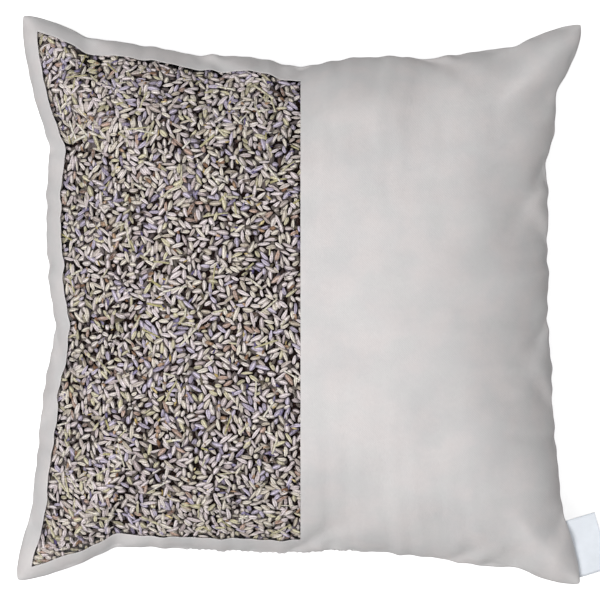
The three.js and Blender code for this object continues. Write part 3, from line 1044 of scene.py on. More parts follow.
def window_room(cover, window, places, room):
    """Which places of the flat front lie in the window, or within some room round it."""
    u, v = cover.shares_at(places[:, 0] / cover.flat, places[:, 1] / cover.flat)
    x = cover.face(1, u, v)[:, 0]
    inside = u > (window.side_margin - room) / cover.width
    inside &= v > (window.lower_margin - room) / cover.height
    inside &= v < 1 - (window.side_margin - room) / cover.height
    return inside & (x < room / 2)


def laid_frames(cover, places, angles, tilts, depths):
    """For each flat place and angle: its point at a depth under the front, and its own X, Y and Z."""

    def point(dx, dy):
        s, t = (places[:, 0] + dx) / cover.flat, (places[:, 1] + dy) / cover.flat
        return cover.face(1, *cover.shares_at(s, t))

    across = unit(point(FRAME_STEP, 0) - point(-FRAME_STEP, 0))
    up = unit(np.cross(across, point(0, FRAME_STEP) - point(0, -FRAME_STEP)))
    upwards = np.cross(up, across)
    flat = across * np.cos(angles)[:, None] + upwards * np.sin(angles)[:, None]
    ahead = flat * np.cos(tilts)[:, None] + up * np.sin(tilts)[:, None]
    side = np.cross(up, flat)
    return point(0, 0) - up * depths[:, None], ahead, side, np.cross(ahead, side)


def placed(frames, x, y, z):
    """Points along the X, Y and Z of each frame."""
    middle, *axes = frames
    points = middle[:, None]
    for local, axis in zip((x, y, z), axes):
        points = points + local[..., None] * axis[:, None]
    return points


def bud_copies(rng, frames, lengths, widths):
    """The buds' points, each bud bent, flattened and turned a little differently, their faces,
    and the marks of their points."""
    template, quads, caps, along, ribs = bud_template()
    count = len(lengths)
    bend = rng.uniform(-BUD_BEND, BUD_BEND, count)[:, None]
    roll = rng.uniform(0, 2 * math.pi, count)[:, None]
    flatness = rng.uniform(*BUD_FLATNESS, count)[:, None]
    fatness = rng.uniform(-BUD_FATNESS, BUD_FATNESS, count)[:, None]
    x = template[:, 0][None]
    thick = 1 + fatness * x * 2
    y = (template[:, 1] * np.cos(roll) - template[:, 2] * np.sin(roll)) * thick
    z = (template[:, 1] * np.sin(roll) + template[:, 2] * np.cos(roll)) * thick * flatness
    length, radius = lengths[:, None], widths[:, None] / 2
    points = placed(frames, x * length, y * radius + bend * length * (4 * x * x - 1) / 2, z * radius)
    marks = {"along": np.broadcast_to(along, y.shape), "rib": np.broadcast_to(ribs, y.shape)}
    return points, quads, caps, marks


def sized(rng, count, spread, least, most):
    """Uneven sizes about 1, none under the least or over the most."""
    return rng.normal(1, spread, count).clip(least, most)


def bud_layer(rng, cover, window, filling, gap_share, layer_depth):
    """One layer of buds: the kind and tone of each, and what bud_copies gives."""
    places = scattered(rng, cover.flat / 2 + SCATTER_ROOM, cover.flat, gap_share * filling.bud_length)
    angles = rng.uniform(0, 2 * math.pi, len(places))
    lengths = filling.bud_length * sized(rng, len(places), *BUD_LENGTH_SPREAD)
    widths = filling.bud_width * sized(rng, len(places), *BUD_WIDTH_SPREAD)
    shares = np.cumsum([share for _, share, _, _ in BUD_KINDS])
    kinds = np.searchsorted(shares / shares[-1], rng.random(len(places)))
    tones = 1 - rng.random(len(places)) ** TONE_POWER
    places, angles = settled(places, angles, lengths, widths)
    kept = window_room(cover, window, places, EDGE_ROOM)
    places, angles, kinds, tones = places[kept], angles[kept], kinds[kept], tones[kept]
    lengths, widths = lengths[kept], widths[kept]
    tilts = rng.normal(0, TILT, len(places)).clip(-2 * TILT, 2 * TILT)
    reach = np.abs(np.sin(tilts)) * lengths / 2 * TILT_REACH + widths / 2
    depths = UNDER_NET + reach + layer_depth
    depths = depths + rng.uniform(0, DEPTH_SPREAD, len(places))
    frames = laid_frames(cover, places, angles, tilts, depths)
    return kinds, tones, bud_copies(rng, frames, lengths, widths)


def lay_buds(cover, window, filling):
    """Lays the buds in layers under the net, and gives a Shell for each kind."""
    rng = np.random.default_rng(filling.seed)
    shells = [Shell() for _ in BUD_KINDS]
    for gap_share, depth, shade in LAYERS:
        kinds, tones, copies = bud_layer(rng, cover, window, filling, gap_share, depth)
        points, quads, caps, marks = copies
        for number, shell in enumerate(shells):
            chosen = kinds == number
            values = {name: mark[chosen] for name, mark in marks.items()}
            shape = values["rib"].shape
            values["tone"] = np.broadcast_to(tones[chosen][:, None], shape)
            # Painted shade: each layer's darkening is stored at its buds' points
            values["shade"] = np.full(shape, shade)
            shell.scatter(points[chosen], quads, caps, values)
    return shells


# How many places are tried for each stalk or flake. Their seeds are added to the filling's.
STREWN_TRIES = 3
STALK_SEED = 1
FLAKE_SEED = 2

# Broken stalks lie just under the net, on top of the buds. Few of them are long.
STALK_SIDES = 5
STALK_RINGS = 7
STALK_LENGTHS = (3.5 * MM, 12.5 * MM)
STALK_LENGTH_POWER = 1.6
STALK_WIDTHS = (0.75 * MM, 1.3 * MM)
STALK_TILT = math.radians(3)
STALK_BEND = 0.014
STALK_TAPER = 0.35
STALK_SAG = 2.2
STALK_ROOM = -2 * MM
STALK_TONES = ((0.54, 0.49, 0.22), (1.0, 0.96, 0.90))

# Flakes lie among the top buds: an uneven rim of unit length in plan, an upper and a lower
# crown, and how ragged and how curled they are
FLAKE_RIM = 9
FLAKE_CROWNS = ((0.04, 0, 0.05), (0.04, 0, -0.03))
FLAKE_LENGTHS = (2.0 * MM, 4.6 * MM)
FLAKE_DEPTHS = (0.3 * MM, 1.2 * MM)
FLAKE_TILT = math.radians(14)
FLAKE_RAGGEDNESS = (0.72, 1.2)
FLAKE_CURL = 0.5
FLAKE_ROOM = -1 * MM

# The kinds of flakes: the share of each, how slim they are, and the two colours they lie between
FLAKE_KINDS = (
    ("leaf", 0.5, (0.3, 0.6), (0.26, 0.13, 0.07), (0.72, 0.50, 0.34)),
    ("petal", 0.5, (0.25, 0.5), (0.12, 0.09, 0.24), (0.46, 0.41, 0.62)),
    ("gold", 0.25, (0.2, 0.4), (0.60, 0.42, 0.12), (1.0, 0.85, 0.48)),
    ("husk", 1.0, (0.16, 0.36), (0.17, 0.12, 0.09), (1.0, 0.94, 0.89)),
)


def stalk_template():
    """A thin tube of unit length and unit radius along X: its points, walls and ends."""
    angles = 2 * math.pi * np.arange(STALK_SIDES) / STALK_SIDES
    points = [
        np.stack((np.full(STALK_SIDES, place), np.cos(angles), np.sin(angles)), -1)
        for place in np.linspace(-0.5, 0.5, STALK_RINGS)
    ]
    numbers = np.arange(STALK_RINGS * STALK_SIDES).reshape(STALK_RINGS, STALK_SIDES)
    first, last = numbers[0], numbers[-1]
    caps = [(first[0], first[k + 1], first[k]) for k in range(1, STALK_SIDES - 1)]
    caps += [(last[0], last[k], last[k + 1]) for k in range(1, STALK_SIDES - 1)]
    return np.concatenate(points), grid_quads(rounded(numbers)), np.array(caps)


def flake_template():
    """A thin closed scale of unit length in plan: its points and faces."""
    angles = 2 * math.pi * np.arange(FLAKE_RIM) / FLAKE_RIM
    rim = np.stack((np.cos(angles) / 2, np.sin(angles) / 2, np.zeros(FLAKE_RIM)), -1)
    after = (np.arange(FLAKE_RIM) + 1) % FLAKE_RIM
    upper = [(k, after[k], FLAKE_RIM) for k in range(FLAKE_RIM)]
    lower = [(after[k], k, FLAKE_RIM + 1) for k in range(FLAKE_RIM)]
    return np.concatenate((rim, FLAKE_CROWNS)), np.array(upper + lower)


def strewn(rng, cover, window, count, room):
    """Up to count places of the flat front that lie in the window."""
    places = rng.random((count * STREWN_TRIES, 2)) * (cover.flat / 2, cover.flat)
    return places[window_room(cover, window, places, room)][:count]


def lay_stalks(cover, window, filling):
    """Thin broken stalks, lying on the buds."""
    rng = np.random.default_rng(filling.seed + STALK_SEED)
    template, quads, caps = stalk_template()
    places = strewn(rng, cover, window, filling.stalk_count, STALK_ROOM)
    count = len(places)
    shortest, longest = STALK_LENGTHS
    angles = rng.uniform(0, math.pi, count)
    lengths = rng.uniform(0, 1, count) ** STALK_LENGTH_POWER * (longest - shortest) + shortest
    widths = rng.uniform(*STALK_WIDTHS, count)
    tilts = rng.normal(0, STALK_TILT, count)
    depths = UNDER_NET + widths / 2 + np.abs(np.sin(tilts)) * lengths / 2
    frames = laid_frames(cover, places, angles, tilts, depths)
    bend = rng.normal(0, STALK_BEND, count)[:, None]
    x = template[:, 0][None]
    taper = 1 - STALK_TAPER * (x + 0.5) * rng.uniform(0, 1, count)[:, None]
    length, radius = lengths[:, None], widths[:, None] / 2 * taper
    y = template[:, 1] * radius + bend * length * (4 * x * x - 1)
    z = template[:, 2] * radius - STALK_SAG * (length * x) ** 2
    tone = np.broadcast_to(rng.random(count)[:, None], y.shape)
    shell = Shell()
    shell.scatter(placed(frames, x * length, y, z), quads, caps, {"tone": tone})
    return shell


def lay_flakes(cover, window, filling, count, seed, slim):
    """Curled flakes of leaf, petal or husk, lying among the top buds."""
    rng = np.random.default_rng(filling.seed + seed)
    template, triangles = flake_template()
    places = strewn(rng, cover, window, count, FLAKE_ROOM)
    count = len(places)
    angles = rng.uniform(0, 2 * math.pi, count)
    lengths = rng.uniform(*FLAKE_LENGTHS, count)
    tilts = rng.normal(0, FLAKE_TILT, count)
    depths = UNDER_NET + np.abs(np.sin(tilts)) * lengths / 2
    depths = depths + rng.uniform(*FLAKE_DEPTHS, count)
    frames = laid_frames(cover, places, angles, tilts, depths)
    ragged = rng.uniform(*FLAKE_RAGGEDNESS, (count, len(template)))
    x = template[None, :, 0] * ragged
    y = template[None, :, 1] * ragged * rng.uniform(*slim, count)[:, None]
    z = template[None, :, 2] + rng.normal(0, FLAKE_CURL, count)[:, None] * (x * x + y * y)
    tone = np.broadcast_to(rng.random(count)[:, None], x.shape)
    length = lengths[:, None]
    shell = Shell()
    shell.scatter(
        placed(frames, x * length, y * length, z * length), np.zeros((0, 4), int), triangles,
        {"tone": tone},
    )
    return shell


# A way that no thread runs in, to tell the sides of a thread from
THREAD_HINT = (0.13, 0.21, 1.0)

# The overlock thread: its pitch along the seam, and how far in and how high it winds
OVERLOCK_PITCH = 2.4 * MM
OVERLOCK_STEPS = 9
OVERLOCK_DEPTH = 1.15 * MM
OVERLOCK_INSETS = (4.2 * MM, 6.5 * MM)
OVERLOCK_THREAD = 0.32 * MM
OVERLOCK_SIDES = 5

# The closing stitches: a thread that swings from one panel to the other, and flattens at the
# end of each swing, where it dips towards the cloth
CLOSING_LENGTH = 84 * MM
CLOSING_CENTRE_SHARE = 0.45
STITCH_PITCH = 6 * MM
STITCH_STEPS = 12
STITCH_THREAD = 0.36 * MM
STITCH_SIDES = 7
STITCH_REACH = 1.25 * MM
STITCH_SWING = 1.35
STITCH_STANDOFF = 0.12 * MM
STITCH_DIP = 0.35 * MM
STITCH_DIP_POWER = 4


def square_walk(count):
    """Points round the square from -1 to 1, anticlockwise from its lower left corner."""
    way = np.arange(count) * 4 / count
    edge, t = way.astype(int), (way % 1) * 2 - 1
    one = np.ones_like(t)
    a = np.choose(edge, (t, one, -t, -one))
    b = np.choose(edge, (-one, t, one, -t))
    return a, b


def thread(path, radius, sides, closed):
    """A round thread along a path, with flat ends if it isn't closed."""
    if closed:
        ahead = unit(np.roll(path, -1, axis=0) - np.roll(path, 1, axis=0))
    else:
        ahead = unit(np.gradient(path, axis=0))
    side = unit(np.cross(ahead, THREAD_HINT))
    lift = np.cross(ahead, side)
    angles = 2 * math.pi * np.arange(sides) / sides
    ring = side[:, None] * np.cos(angles)[:, None] + lift[:, None] * np.sin(angles)[:, None]
    shell = Shell()
    numbers = shell.add(path[:, None] + ring * radius)
    walls = rounded(numbers)
    if closed:
        walls = np.concatenate((walls, walls[:1]))
    shell.sheet(walls)
    if not closed:
        for line, turn in ((numbers[0], -1), (numbers[-1], 1)):
            fan = [(line[0], line[k], line[k + 1])[::turn] for k in range(1, sides - 1)]
            shell.triangles.append(np.array(fan))
    return shell


def overlock_thread(cover):
    """One thread that winds over the raw edges of both allowances, all the way round."""
    turns = round(2 * (cover.width + cover.height) / OVERLOCK_PITCH)
    count = turns * OVERLOCK_STEPS
    a, b = square_walk(count)
    turn = 2 * math.pi * np.arange(count) / OVERLOCK_STEPS
    inset = np.mean(OVERLOCK_INSETS) + np.ptp(OVERLOCK_INSETS) / 2 * np.cos(turn)
    path = seam_ring(cover, a, b, inset, ALLOWANCE_ROUNDING, OVERLOCK_DEPTH * np.sin(turn))
    return thread(path, OVERLOCK_THREAD / 2, OVERLOCK_SIDES, closed=True)


def closing_thread(cover):
    """The hand-sewn ladder of stitches that closes the lower seam over the turning gap."""
    stitches = round(CLOSING_LENGTH / STITCH_PITCH)
    way = np.linspace(-0.5, 0.5, stitches * STITCH_STEPS + 1)
    share = CLOSING_CENTRE_SHARE + way * CLOSING_LENGTH / cover.width
    swing = np.clip(STITCH_SWING * np.cos(2 * math.pi * (way + 0.5) * stitches), -1, 1)
    a, b = 2 * share - 1, -np.ones_like(share)
    path = seam_ring(cover, a, b, inset=0, rounding=0, lift=swing * STITCH_REACH)
    path[:, 1] -= STITCH_STANDOFF + STITCH_THREAD / 2 - STITCH_DIP * swing ** STITCH_DIP_POWER
    return thread(path, STITCH_THREAD / 2, STITCH_SIDES, closed=False)


# The label's ribbon: its fineness, its fold, how it turns and waves, and from where to where,
# out from the seam, its two plies part
LABEL_COLUMNS = 26
LABEL_ROWS = 34
FOLD_ROWS = 8
FOLD_RADIUS = 0.3 * MM
LABEL_PLY_GAP = 0.01 * MM
LABEL_PARTING = (-2 * MM, 4 * MM)
LABEL_TURN = math.radians(6)
LABEL_WAVE = 0.35 * MM
LABEL_WAVES = 1.15
LABEL_WAVE_START = 0.2
LABEL_DROOP = 0.5 * MM


def label_shell(label, joint):
    """One length of ribbon: out of the seam, round its fold and back into the seam. Also gives
    each point's place on the ribbon, the hinge and the way out from it."""
    hinge = np.array(joint["pos_m"])
    x, y, z = joint["axis"]
    cosine, sine = math.cos(LABEL_TURN), math.sin(LABEL_TURN)
    axis = np.array([cosine * x - sine * y, sine * x + cosine * y, z])
    outward = unit(np.array([-axis[1], axis[0], 0]))
    up = unit(np.cross(axis, outward))
    straight = np.linspace(-label.tail, label.length - FOLD_RADIUS, LABEL_ROWS)
    bend = np.linspace(-math.pi / 2, math.pi / 2, FOLD_ROWS + 2)[1:-1]
    out = np.concatenate((
        straight, label.length - FOLD_RADIUS + FOLD_RADIUS * np.cos(bend), straight[::-1],
    ))
    closed_gap = label.ribbon / 2 + LABEL_PLY_GAP
    half_gap = closed_gap + (FOLD_RADIUS - closed_gap) * smooth(*LABEL_PARTING, straight)
    ply = np.concatenate((-half_gap, FOLD_RADIUS * np.sin(bend), half_gap[::-1]))
    across = np.linspace(-0.5, 0.5, LABEL_COLUMNS)[:, None]
    wave = LABEL_WAVE * np.sin(2 * math.pi * (LABEL_WAVES * across + LABEL_WAVE_START)) - LABEL_DROOP
    height = ply[None, :] + smooth(0, label.length, out)[None, :] * wave
    out, across = np.broadcast_arrays(out, across)
    middle = (
        hinge
        + outward * out[..., None]
        + up * height[..., None]
        + axis * (across * label.width)[..., None]
    )
    normal = unit(np.cross(np.gradient(middle, axis=1), np.gradient(middle, axis=0)))
    shell = Shell()
    outer = shell.add(middle + normal * label.ribbon / 2)
    inner = shell.add(middle - normal * label.ribbon / 2)
    shell.sheet(outer)
    shell.sheet(inner, up=False)
    row, column = perimeter(*outer.shape)
    shell.band(outer[row, column], inner[row, column])
    place = np.stack((out, across, np.zeros_like(out)), -1).reshape(-1, 3)
    return shell, np.concatenate((place, place)), hinge, outward


# The numbers of a mix node's sockets for tones, whose names its other sockets share
MIX_FIRST = 6
MIX_SECOND = 7
MIX_RESULT = 2


def shaded(tone, share):
    """A share of a tone's brightness."""
    return tuple(share * part for part in tone)


class Finish:
    """A material under construction, with short ways to add its nodes."""

    def __init__(self, name, roughness, **sockets):
        self.material = bpy.data.materials.new(name)
        self.material.use_nodes = True
        self.tree = self.material.node_tree
        self.shader = self.tree.nodes["Principled BSDF"]
        self.shader.inputs["Roughness"].default_value = roughness
        for socket, value in sockets.items():
            self.shader.inputs[socket.replace("_", " ")].default_value = value

    def node(self, kind, inputs=(), **settings):
        """A new node, with its inputs linked or set, and its settings."""
        made = self.tree.nodes.new(kind)
        for key, value in settings.items():
            setattr(made, key, value)
        for socket, value in dict(inputs).items():
            self.plug(made.inputs[socket], value)
        return made

    def plug(self, socket, value):
        """Links a node's output to a socket, or sets a number, a vector or a tone there."""
        if isinstance(value, bpy.types.NodeSocket):
            self.tree.links.new(value, socket)
        elif socket.type == "RGBA":
            socket.default_value = (*value, 1)
        else:
            socket.default_value = value

    def value(self, operation, *inputs):
        """A sum worked out from links or numbers."""
        made = self.node("ShaderNodeMath", operation=operation)
        for socket, value in zip(made.inputs, inputs):
            self.plug(socket, value)
        return made.outputs[0]

    def attribute(self, name, output="Fac"):
        """A number that is stored at the points."""
        return self.node("ShaderNodeAttribute", attribute_name=name).outputs[output]

    def parts(self, name):
        """The X, Y and Z of a vector that is stored at the points."""
        return self.node("ShaderNodeSeparateXYZ", {"Vector": self.attribute(name, "Vector")}).outputs

    def place(self):
        """The place on the object, in metres."""
        return self.node("ShaderNodeTexCoord").outputs["Object"]

    def noise(self, size, detail=2.0, place=None):
        """Noise with lumps of about a given size in metres."""
        place = self.place() if place is None else place
        inputs = {"Vector": place, "Scale": 1 / size, "Detail": detail}
        return self.node("ShaderNodeTexNoise", inputs).outputs["Fac"]

    def stretched(self, value, low, high):
        """A value from low to high drawn out to run from 0 to 1."""
        inputs = {"Value": value, "From Min": low, "From Max": high}
        return self.node("ShaderNodeMapRange", inputs, clamp=True).outputs["Result"]

    def patches(self, size, low, high, detail=2.0):
        """Patches of about a given size: 0 where the noise is low, and 1 where it is high."""
        return self.stretched(self.noise(size, detail), low, high)

    def mixed(self, share, first, second, most=1.0):
        """From the first tone to the second by a share, which reaches no more than most."""
        if most < 1:
            share = self.value("MULTIPLY", share, most)
        made = self.node("ShaderNodeMix", data_type="RGBA", clamp_factor=True)
        self.plug(made.inputs["Factor"], share)
        self.plug(made.inputs[MIX_FIRST], first)
        self.plug(made.inputs[MIX_SECOND], second)
        return made.outputs[MIX_RESULT]

    def colour(self, value):
        """The surface's own colour."""
        self.plug(self.shader.inputs["Base Color"], value)

    def bump(self, height, distance):
        """A fine relief: a height of 1 stands a given distance in metres over a height of 0."""
        made = self.node("ShaderNodeBump", {"Height": height, "Distance": distance})
        self.plug(self.shader.inputs["Normal"], made.outputs["Normal"])


# The cloths' and threads' own fine measures
WEAVE_PITCH = 0.42 * MM
WEAVE_RELIEF = 0.035 * MM
SLUB_SIZE = 1.1 * MM
TINT_OFFSET = (0.7, 0.3, 0.1)
TWIST_SIZE = 0.25 * MM
TWIST_RELIEF = 0.05 * MM
SEWING_TONE = (0.58, 0.56, 0.555)
SATIN_PITCH = 0.28 * MM
SATIN_RELIEF = 0.012 * MM
SELVEDGE_WIDTH = 1.1 * MM

# The lavender's tones: the dust on the buds, the painted shade that darkens the deeper layers, the painted
# shade in the grooves between the ribs, and the bed's brown, painted near-black as the shade deep between
# the buds
DUST_TONE = (0.98, 0.90, 0.87)
DEEP_SHADE_TONE = (0.026, 0.011, 0.008)
GROOVE_SHADE_TINT = (0.33, 0.26, 0.23)
BED_SHADE_TONES = ((0.006, 0.0025, 0.002), (0.024, 0.011, 0.008))


def weave_height(finish):
    """A plain weave: threads that go over and under each other in turn."""
    place = finish.parts("flat_place")
    threads = [
        finish.value("SINE", finish.value("MULTIPLY", place[axis], math.pi / WEAVE_PITCH))
        for axis in ("X", "Y")
    ]
    return finish.value("MULTIPLY", *threads)


def cotton(sizes):
    """Smooth pale grey cotton with soft mottling, a fine plain weave and a little bloom."""
    finish = Finish("cotton", roughness=0.88, Sheen_Weight=0.15, Sheen_Roughness=0.6)
    broad = finish.patches(size=26 * MM, low=0.36, high=0.64, detail=3.0)
    base = finish.mixed(broad, sizes.light_tone, sizes.dull_tone)
    moved = finish.node("ShaderNodeVectorMath", {0: finish.place(), 1: TINT_OFFSET}, operation="ADD")
    tint = finish.noise(size=15 * MM, place=moved.outputs[0])
    base = finish.mixed(finish.stretched(tint, low=0.48, high=0.66), base, sizes.rosy_tone, most=0.5)
    base = finish.mixed(finish.stretched(tint, low=0.50, high=0.34), base, sizes.cool_tone, most=0.4)
    fine = finish.patches(size=2.2 * MM, low=0.3, high=0.7, detail=4.0)
    finish.colour(finish.mixed(fine, base, shaded(sizes.dull_tone, share=0.88), most=0.16))
    finish.bump(finish.value("ADD", weave_height(finish), finish.noise(SLUB_SIZE)), WEAVE_RELIEF)
    return finish.material


def net_cloth(window):
    """A fine open net: thin threads both ways, and nothing between them."""
    finish = Finish("net", roughness=0.8)
    finish.colour(window.net_tone)
    place = finish.parts("flat_place")
    threads = []
    for axis in ("X", "Y"):
        meshes = finish.value("DIVIDE", place[axis], window.net_pitch)
        across = finish.value("FRACT", meshes)
        threads.append(finish.value("LESS_THAN", across, window.net_thread / window.net_pitch))
    finish.plug(finish.shader.inputs["Alpha"], finish.value("MAXIMUM", *threads))
    return finish.material


def sewing_thread(name):
    """Spun thread, with its twist as fine slanting ridges."""
    finish = Finish(name, roughness=0.7, Sheen_Weight=0.3)
    spun = finish.noise(TWIST_SIZE)
    finish.colour(finish.mixed(spun, SEWING_TONE, shaded(SEWING_TONE, share=0.78)))
    finish.bump(spun, TWIST_RELIEF)
    return finish.material


def satin(label):
    """Pale satin ribbon: fine lengthwise threads with a soft shine, firmer at both edges."""
    finish = Finish("satin", roughness=0.34, Sheen_Weight=0.1, Anisotropic=0.4)
    across = finish.parts("ribbon_place")["Y"]
    edge = 0.5 - SELVEDGE_WIDTH / label.width
    selvedge = finish.value("GREATER_THAN", finish.value("ABSOLUTE", across), edge)
    cloud = finish.patches(size=5 * MM, low=0.35, high=0.65)
    base = finish.mixed(cloud, label.tone, shaded(label.tone, share=0.93), most=0.5)
    finish.colour(finish.mixed(selvedge, base, shaded(label.tone, share=0.85), most=0.4))
    width = finish.value("MULTIPLY", across, label.width)
    threads = finish.value("SINE", finish.value("MULTIPLY", width, 2 * math.pi / SATIN_PITCH))
    finish.bump(threads, SATIN_RELIEF)
    return finish.material


def bud_finish(kind, low, high):
    """Dried buds: a tone for each bud, with dusty ribs, painted shade in the grooves, darker ends, and
    painted shade that darkens the deeper layers.
    """
    finish = Finish(
        kind + "_buds", roughness=0.9, Sheen_Weight=0.1, Sheen_Roughness=0.5, Specular_IOR_Level=0.12,
    )
    along = finish.attribute("along")
    tone = finish.mixed(finish.attribute("tone"), low, high)
    dust = finish.patches(size=0.8 * MM, low=0.4, high=0.62, detail=3.0)
    tone = finish.mixed(dust, tone, DUST_TONE, most=0.45)
    # Painted shade: the grooves between the ribs, and the mouth's tip, are darkened towards a brown
    groove = finish.stretched(finish.attribute("rib"), low=0.5, high=0.0)
    groove_shade_tone = tuple(tint * part for tint, part in zip(GROOVE_SHADE_TINT, low))
    tone = finish.mixed(groove, tone, groove_shade_tone, most=0.55)
    mouth = finish.stretched(along, low=0.62, high=1.0)
    tone = finish.mixed(mouth, tone, shaded(low, share=0.62), most=0.3)
    stalk_end = finish.stretched(along, low=0.16, high=0.0)
    tone = finish.mixed(stalk_end, tone, shaded(low, share=0.5), most=0.45)
    # Painted shade: the deeper layers are darkened towards a near-black brown
    finish.colour(finish.mixed(finish.attribute("shade"), tone, DEEP_SHADE_TONE))
    finish.bump(finish.noise(size=0.35 * MM, detail=3.0), distance=0.12 * MM)
    return finish.material


def dry_matter(name, low, high):
    """Stalks, leaves and petals: a tone for each bit, with blotches."""
    finish = Finish(name, roughness=0.85, Sheen_Weight=0.05, Specular_IOR_Level=0.2)
    tone = finish.mixed(finish.attribute("tone"), low, high)
    blotch = finish.patches(size=1.4 * MM, low=0.45, high=0.6, detail=3.0)
    finish.colour(finish.mixed(blotch, tone, shaded(low, share=0.6), most=0.5))
    finish.bump(finish.noise(size=0.4 * MM), distance=0.1 * MM)
    return finish.material


def dark_bed():
    """The filling in the gaps between the buds: brown and dusty, with its colour painted near-black as the
    shade that falls deep between them.
    """
    finish = Finish("bed", roughness=0.95, Specular_IOR_Level=0.02)
    grain = finish.patches(size=1.6 * MM, low=0.35, high=0.7, detail=4.0)
    # Painted shade: the bed's brown is darkened to near-black, as the shade deep between the buds
    finish.colour(finish.mixed(grain, *BED_SHADE_TONES))
    finish.bump(finish.noise(size=1.8 * MM, detail=3.0), distance=0.8 * MM)
    return finish.material


def store_flat_place(made):
    """Stores each point's place in plan, for the weave and the net's threads to follow."""
    points = np.empty(len(made.data.vertices) * 3, np.float32)
    made.data.vertices.foreach_get("co", points)
    store(made, "flat_place", points.reshape(-1, 3) * (1, 1, 0))


def carried(made, slot, *replaced):
    """Lets a piece ride on the cushion and stand for its solids, which it hides. Its slot is not used."""
    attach(made, "cushion")
    if replaced:
        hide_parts(*replaced)


def laid_cloth(shell, name, material, slot, solid):
    """A cloth of the cushion, with its place in plan at its points."""
    made = shell.object(name, material)
    store_flat_place(made)
    carried(made, slot, solid)
    return made


class SACHET_OT_cover(bpy.types.Operator):
    """Make the front and back panels of the cotton cover"""

    bl_idname = "sachet.cover"
    bl_label = "Cover"

    def execute(self, context):
        sizes, window = context.scene.sachet_cover, context.scene.sachet_window
        cover = shaped_cover()
        material = cotton(sizes)
        u, v, opening = front_grid(cover, window)
        front = cover_panel(cover, 1, sizes.cloth, sizes.allowance, u, v, opening)
        u, v = back_grid(cover, window)
        back = cover_panel(cover, -1, sizes.cloth, sizes.allowance, u, v)
        for shell, name, solid in (
            (front, "front_cover", "front_panel"), (back, "back_cover", "back_panel"),
        ):
            made = laid_cloth(shell, name, material, "cotton", solid)
        return {"FINISHED"}


class SACHET_OT_window(bpy.types.Operator):
    """Lay the net and its stay tape under the front panel"""

    bl_idname = "sachet.window"
    bl_label = "Window"

    def execute(self, context):
        sizes, window = context.scene.sachet_cover, context.scene.sachet_window
        cover = shaped_cover()
        net = laid_cloth(net_sheet(cover, window), "net", net_cloth(window), "net", "window_net")
        tape = laid_cloth(
            tape_sheet(cover, window), "stay_tape", cotton(sizes), "cotton", "window_tape",
        )
        return {"FINISHED"}


class SACHET_OT_filling(bpy.types.Operator):
    """Fill the cover with dried lavender buds, stalks and flakes"""

    bl_idname = "sachet.filling"
    bl_label = "Filling"

    def execute(self, context):
        window, filling = context.scene.sachet_window, context.scene.sachet_filling
        cover = shaped_cover()
        bed = bed_shell(cover).object("lavender_bed", dark_bed())
        carried(bed, "lavender", "lavender_filling")
        for (kind, _, low, high), buds in zip(BUD_KINDS, lay_buds(cover, window, filling)):
            carried(buds.object(kind + "_buds", bud_finish(kind, low, high)), "lavender")
        stalks = lay_stalks(cover, window, filling)
        carried(stalks.object("stalks", dry_matter("straw", *STALK_TONES)), "lavender")
        for seed, (name, share, slim, low, high) in enumerate(FLAKE_KINDS, FLAKE_SEED):
            count = filling.husk_count if name == "husk" else filling.flake_count
            flakes = lay_flakes(cover, window, filling, round(share * count), seed, slim)
            carried(flakes.object(name + "_flakes", dry_matter(name, low, high)), "lavender")
        return {"FINISHED"}


class SACHET_OT_seams(bpy.types.Operator):
    """Sew the overlock thread and the closing stitches"""

    bl_idname = "sachet.seams"
    bl_label = "Seams"

    def execute(self, context):
        cover = shaped_cover()
        overlock = overlock_thread(cover).object("overlock_thread", sewing_thread("overlock"))
        carried(overlock, "thread", "seam_overlock")
        closing = closing_thread(cover).object("closing_thread", sewing_thread("closing"))
        carried(closing, "thread", "closing_stitches")
        return {"FINISHED"}


class SACHET_OT_label(bpy.types.Operator):
    """Fold the bare satin ribbon at the right-hand seam"""

    bl_idname = "sachet.label"
    bl_label = "Label"

    def execute(self, context):
        label = context.scene.sachet_label
        joint = frame["joints"][0]
        shell, places, hinge, outward = label_shell(label, joint)
        made = shell.object("label", satin(label))
        store(made, "ribbon_place", places)
        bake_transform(made)
        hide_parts("label_flap", "label_tail")
        return {"FINISHED"}


class SACHET_OT_stage(bpy.types.Operator):
    """Set the floor, the lights and the camera"""

    bl_idname = "sachet.stage"
    bl_label = "Stage"

    def execute(self, context):
        scene, stage = context.scene, context.scene.sachet_stage
        add_camera(scene, stage)
        add_floor()
        add_lights(scene, stage.key)
        add_room(scene, stage.fill)
        scene.view_settings.view_transform = "Standard"
        scene.view_settings.look = "None"
        return {"FINISHED"}


# The camera's sensor, and the floor
SENSOR = 36.0
FLOOR_RADIUS = 3.0
FLOOR_SIDES = 64
FLOOR_TONE = (0.92, 0.92, 0.92)
FLOOR_GLOW = 0.65

# Each light: its place, its side, its share of the key's power, and its colour
LIGHTS = (
    ("key", (-0.58, -0.2, 1.36), 0.5, 1.0, (1.0, 0.99, 0.985)),
    ("top", (0.0, 0.0, 1.7), 1.4, 0.7, (0.985, 0.99, 1.0)),
)

# How bright the room is under the floor's level, as a share of its fill, and between which
# slopes it changes
UNDER_SHARE = 0.3
HORIZON = (-0.15, 0.1)


def add_camera(scene, stage):
    """The camera looks straight down on the sachet's middle."""
    data = bpy.data.cameras.new("camera")
    data.sensor_width = SENSOR
    data.lens = SENSOR * stage.camera_height / stage.framed
    camera = bpy.data.objects.new("camera", data)
    camera.location = (0, 0, scene.sachet_cover.seam_height + stage.camera_height)
    scene.collection.objects.link(camera)
    scene.camera = camera


